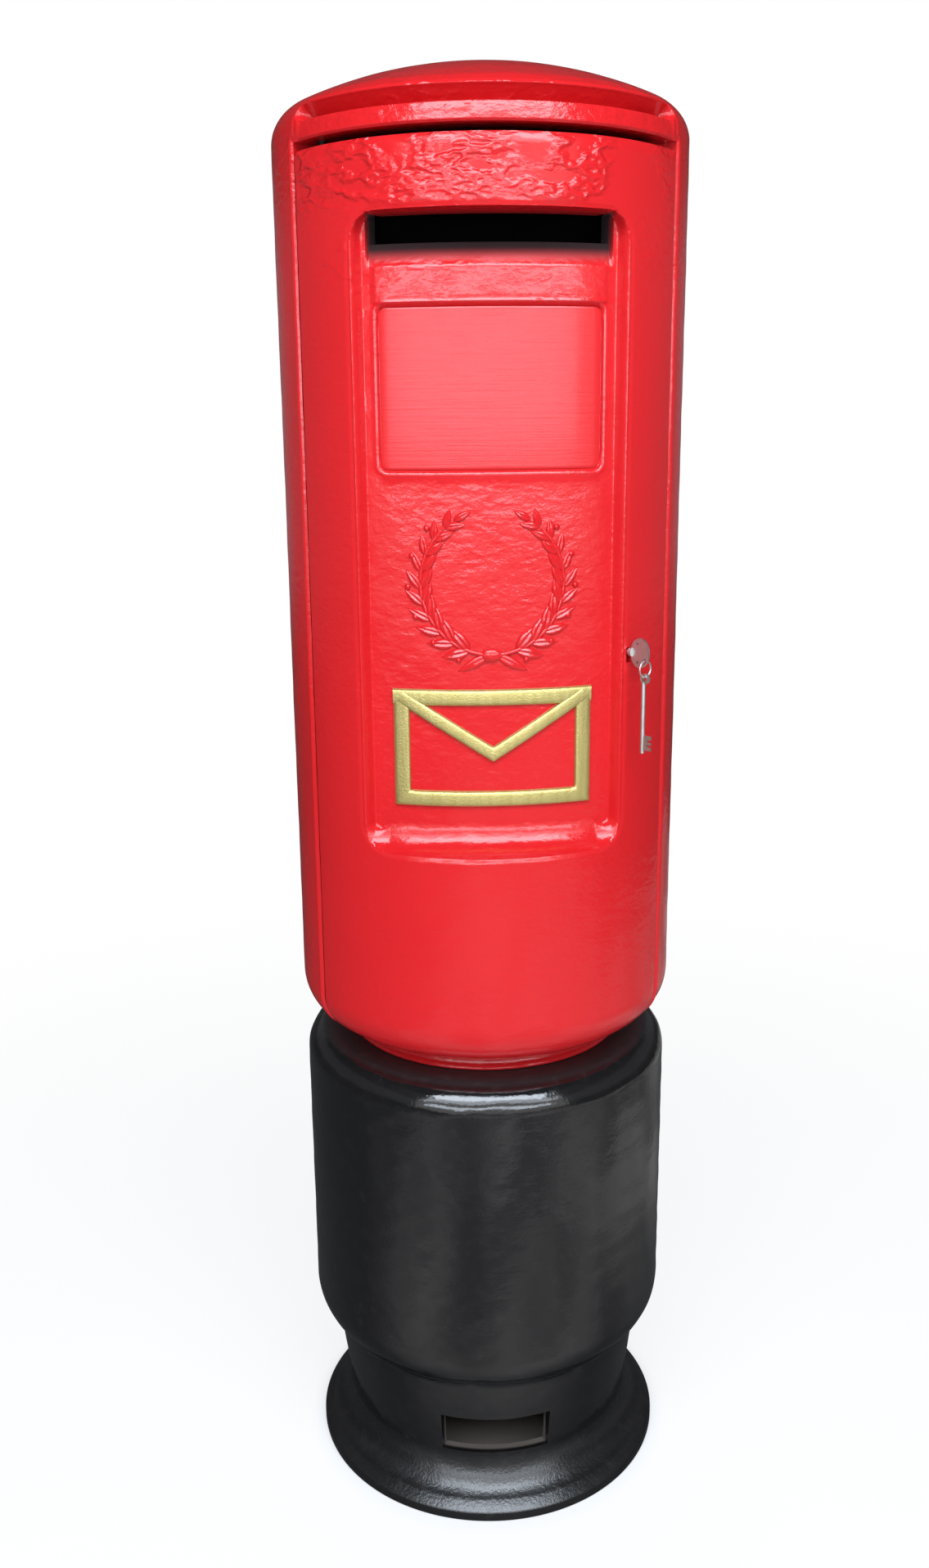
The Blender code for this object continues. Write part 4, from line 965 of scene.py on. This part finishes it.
# %% Paint everything
NODES_OF = {
    "plain_steel": ["joint_bolt", "joint_nut", "lower_pivot_bracket", "guard_clip", "chute_screw",
                    "lock_screw", "strike", "lock_bolt"],
    # The pivot pins take grease-dark steel, darkened further as painted shade.
    "greased_and_shaded_steel": ["lower_pivot_pin", "upper_pivot_pin"],
    # The chute takes the near-black sheet: painted shade inside the slot.
    "painted_shade_sheet": ["letter_chute"],
    "galvanised_sheet": ["mail_floor", "mail_guard"],
    "lock_brass": ["lock_case", "lock_lever", "lock_cover", "thrust_washer"],
    "nickel_key": ["key", "spare_key"],
}


def paint(item, finish):
    """One finish on every material slot of an object."""
    item.data.materials.clear()
    item.data.materials.append(finish)


for piece in (body_piece, door_piece, pedestal_piece, wreath_piece, sign_piece, lug_piece):
    paint(piece, finishes[piece["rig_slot"]])
paint(plate_piece, plate_enamel)
for slot_name, starts in NODES_OF.items():
    named = [node for name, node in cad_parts.items() if name.startswith(tuple(starts))]
    shown = [node for node in named if not node.hide_render]
    for node in shown:
        paint(node, finishes[slot_name])
    print(slot_name, len(shown), "nodes")

# %% [markdown]
# The light is that of a plain studio. Gloss mirrors the lamps, so each is placed by what shows it: a wide
# low panel in the notice plate and the band over it, and two more, one above the other, on the brow, the
# sill and the pedestal's shoulder. A weak panel behind fills in the shade at the back.

# %% Lamps
COOL = (0.80, 0.89, 1.0)
PANELS = {
    "low_panel": ((0.0, -4.2, 1.635), (0, 0, 1.635), 6.4, 0.73, 97.0),
    "middle_panel": ((0.0, -3.0, 2.85), (0, 0, 1.2), 5.6, 0.8, 54.0),
    "high_panel": ((0.0, -2.3, 3.5), (0, 0, 0.9), 4.0, 1.1, 154.0),
    "back_panel": ((0.0, 3.6, 2.2), (0, 0, 1.0), 3.0, 2.0, 40.0),
}


def soft_panel(name, place, aim, width, height, power):
    """A rectangular soft lamp that looks at a point."""
    lamp = bpy.data.lights.new(name, "AREA")
    lamp.shape = "RECTANGLE"
    lamp.size, lamp.size_y, lamp.energy = width, height, power
    lamp.color = COOL
    stand = bpy.data.objects.new(name, lamp)
    stand.location = place
    stand.rotation_euler = (Vector(aim) - Vector(place)).to_track_quat("-Z", "Y").to_euler()
    bpy.context.scene.collection.objects.link(stand)


for panel, setting in PANELS.items():
    soft_panel(panel, *setting)
print("lamps", sorted(PANELS))

# %% [markdown]
# Dark cards stand at the sides, behind and overhead, and a grey one lies on the ground, as a photographer
# of glossy things sets them up: only reflections see them, and they keep the edges of the paint deep. The
# ground card is bright in front and to the right, where the pedestal has its sheen. A small card over the
# brow keeps the lamps' glare off the roof when it is seen from behind.

# %% Cards
CARD_SIDE, CARD_BACK, CARD_FRONT, CARD_TOP = 2.3, 2.6, -2.2, 4.2
FLAG_HALF, FLAG_Y, FLAG_LOW, FLAG_HIGH = 0.5, -0.27, 1.80, 2.60
GROUND_REACH, GROUND_Z = 6.0, 0.001
HIDDEN_FROM = ("camera", "diffuse", "transmission", "shadow", "volume_scatter")


def stage_sheet(name, points, faces):
    """A flat stage object, which is no part of the letter box."""
    mesh = bpy.data.meshes.new(name)
    mesh.from_pydata(points, [], faces)
    sheet = bpy.data.objects.new(name, mesh)
    bpy.context.scene.collection.objects.link(sheet)
    return sheet


def level_sheet(name, reach, z):
    """A level square of the stage."""
    corners = [(-reach, -reach, z), (reach, -reach, z), (reach, reach, z), (-reach, reach, z)]
    return stage_sheet(name, corners, [(0, 1, 2, 3)])


def start_felt(card, grey, spread):
    """Matt felt on a card that only reflections see: its coordinates, its shader and a mottled grey."""
    for rays in HIDDEN_FROM:
        setattr(card, "visible_" + rays, False)
    finish, place, shader = start_finish(card.name + "_felt", Roughness=1.0)
    levels = grey * (1 - spread), grey * (1 + spread)
    tones = [(level, level * 0.91, level * 0.84, 1) for level in levels]
    paint(card, finish)
    return place, shader, place.noise(1.6).band(0.30, 0.70).tint(*tones)


card_ring = [(-CARD_SIDE, CARD_FRONT), (-CARD_SIDE, CARD_BACK),
             (CARD_SIDE, CARD_BACK), (CARD_SIDE, CARD_FRONT)]
card_points = [(x, y, z) for z in (0.0, CARD_TOP) for x, y in card_ring]
card_points += [(x, FLAG_Y, z) for z in (FLAG_LOW, FLAG_HIGH) for x in (-FLAG_HALF, FLAG_HALF)]
card_faces = [(0, 1, 5, 4), (1, 2, 6, 5), (2, 3, 7, 6), (4, 5, 6, 7), (8, 9, 11, 10)]
cards = stage_sheet("dark_cards", card_points, card_faces)
place, felt, mottled = start_felt(cards, 0.05, 0.15)
upper = place.along("Z").between((0.6, 1.0), (1.8, 2.2))
feed(felt, Base_Color=upper.tint(mottled, (0.16, 0.15, 0.15, 1)))
ground_card = level_sheet("ground_card", GROUND_REACH, GROUND_Z)
place, felt, mottled = start_felt(ground_card, 0.34, 0.60)
ahead = (1 - place.along("Y").band(-0.45, -0.15)) * place.along("X").band(-1.4, -0.4)
lit_side = ahead.larger(place.along("X").band(0.3, 1.0))
feed(felt, Base_Color=lit_side.tint((0.05, 0.048, 0.046, 1), mottled))
print("cards", cards.name, ground_card.name)

# %% [markdown]
# The world is white for the camera and for reflections, and a soft grey for the light it gives. The floor
# glows white too, except for a faint shadow near the foot. Under the box, where only the window shows it,
# it is brown earth.

# %% World and floor
ROOM_LIGHT, FLOOR_REACH = 0.27, 12.0
EARTH = (0.44, 0.37, 0.32, 1)


def seen_rays(wire):
    """1 for rays that the camera, a reflection or glass sends out, and 0 for rays that carry light."""
    names = ("Is Camera Ray", "Is Glossy Ray", "Is Transmission Ray")
    camera, glossy, through = [wire.node("ShaderNodeLightPath", {}, {}, name) for name in names]
    return camera.larger(glossy.larger(through))


world = bpy.data.worlds.new("plain_room")
bpy.context.scene.world = world
world.use_nodes = True
backdrop = world.node_tree.nodes["Background"]
backdrop.inputs["Color"].default_value = (1.0, 1.0, 1.0, 1)
seen = seen_rays(Wire(world.node_tree, backdrop.inputs["Strength"]))
feed(backdrop, Strength=ROOM_LIGHT + seen * (1 - ROOM_LIGHT))

floor = level_sheet("floor", FLOOR_REACH, 0.0)
pale, ground, surface = start_finish("pale_floor", Roughness=0.9)
away = ground.from_axis()
paving = ground.noise(3.0, 2.0).tint((0.83, 0.83, 0.83, 1), (0.86, 0.86, 0.86, 1))
feed(surface, Base_Color=away.band(0.185, 0.200).tint(EARTH, paving))
glow = ground.node("ShaderNodeEmission", {}, {"Strength": 1.0})
lit = Wire(pale.node_tree, surface.outputs["BSDF"])
glow_share = away.band(0.20, 0.26) * 0.80 + away.band(0.4, 2.4) * 0.20
both = ground.node("ShaderNodeMixShader", {}, {0: seen_rays(ground) * glow_share, 1: lit, 2: glow})
feed(pale.node_tree.nodes["Material Output"], Surface=both)
paint(floor, pale)
print("floor", FLOOR_REACH, "m each way")

# %% [markdown]
# Last come the view settings.

# %% Finish
bpy.context.scene.view_settings.view_transform = "Standard"
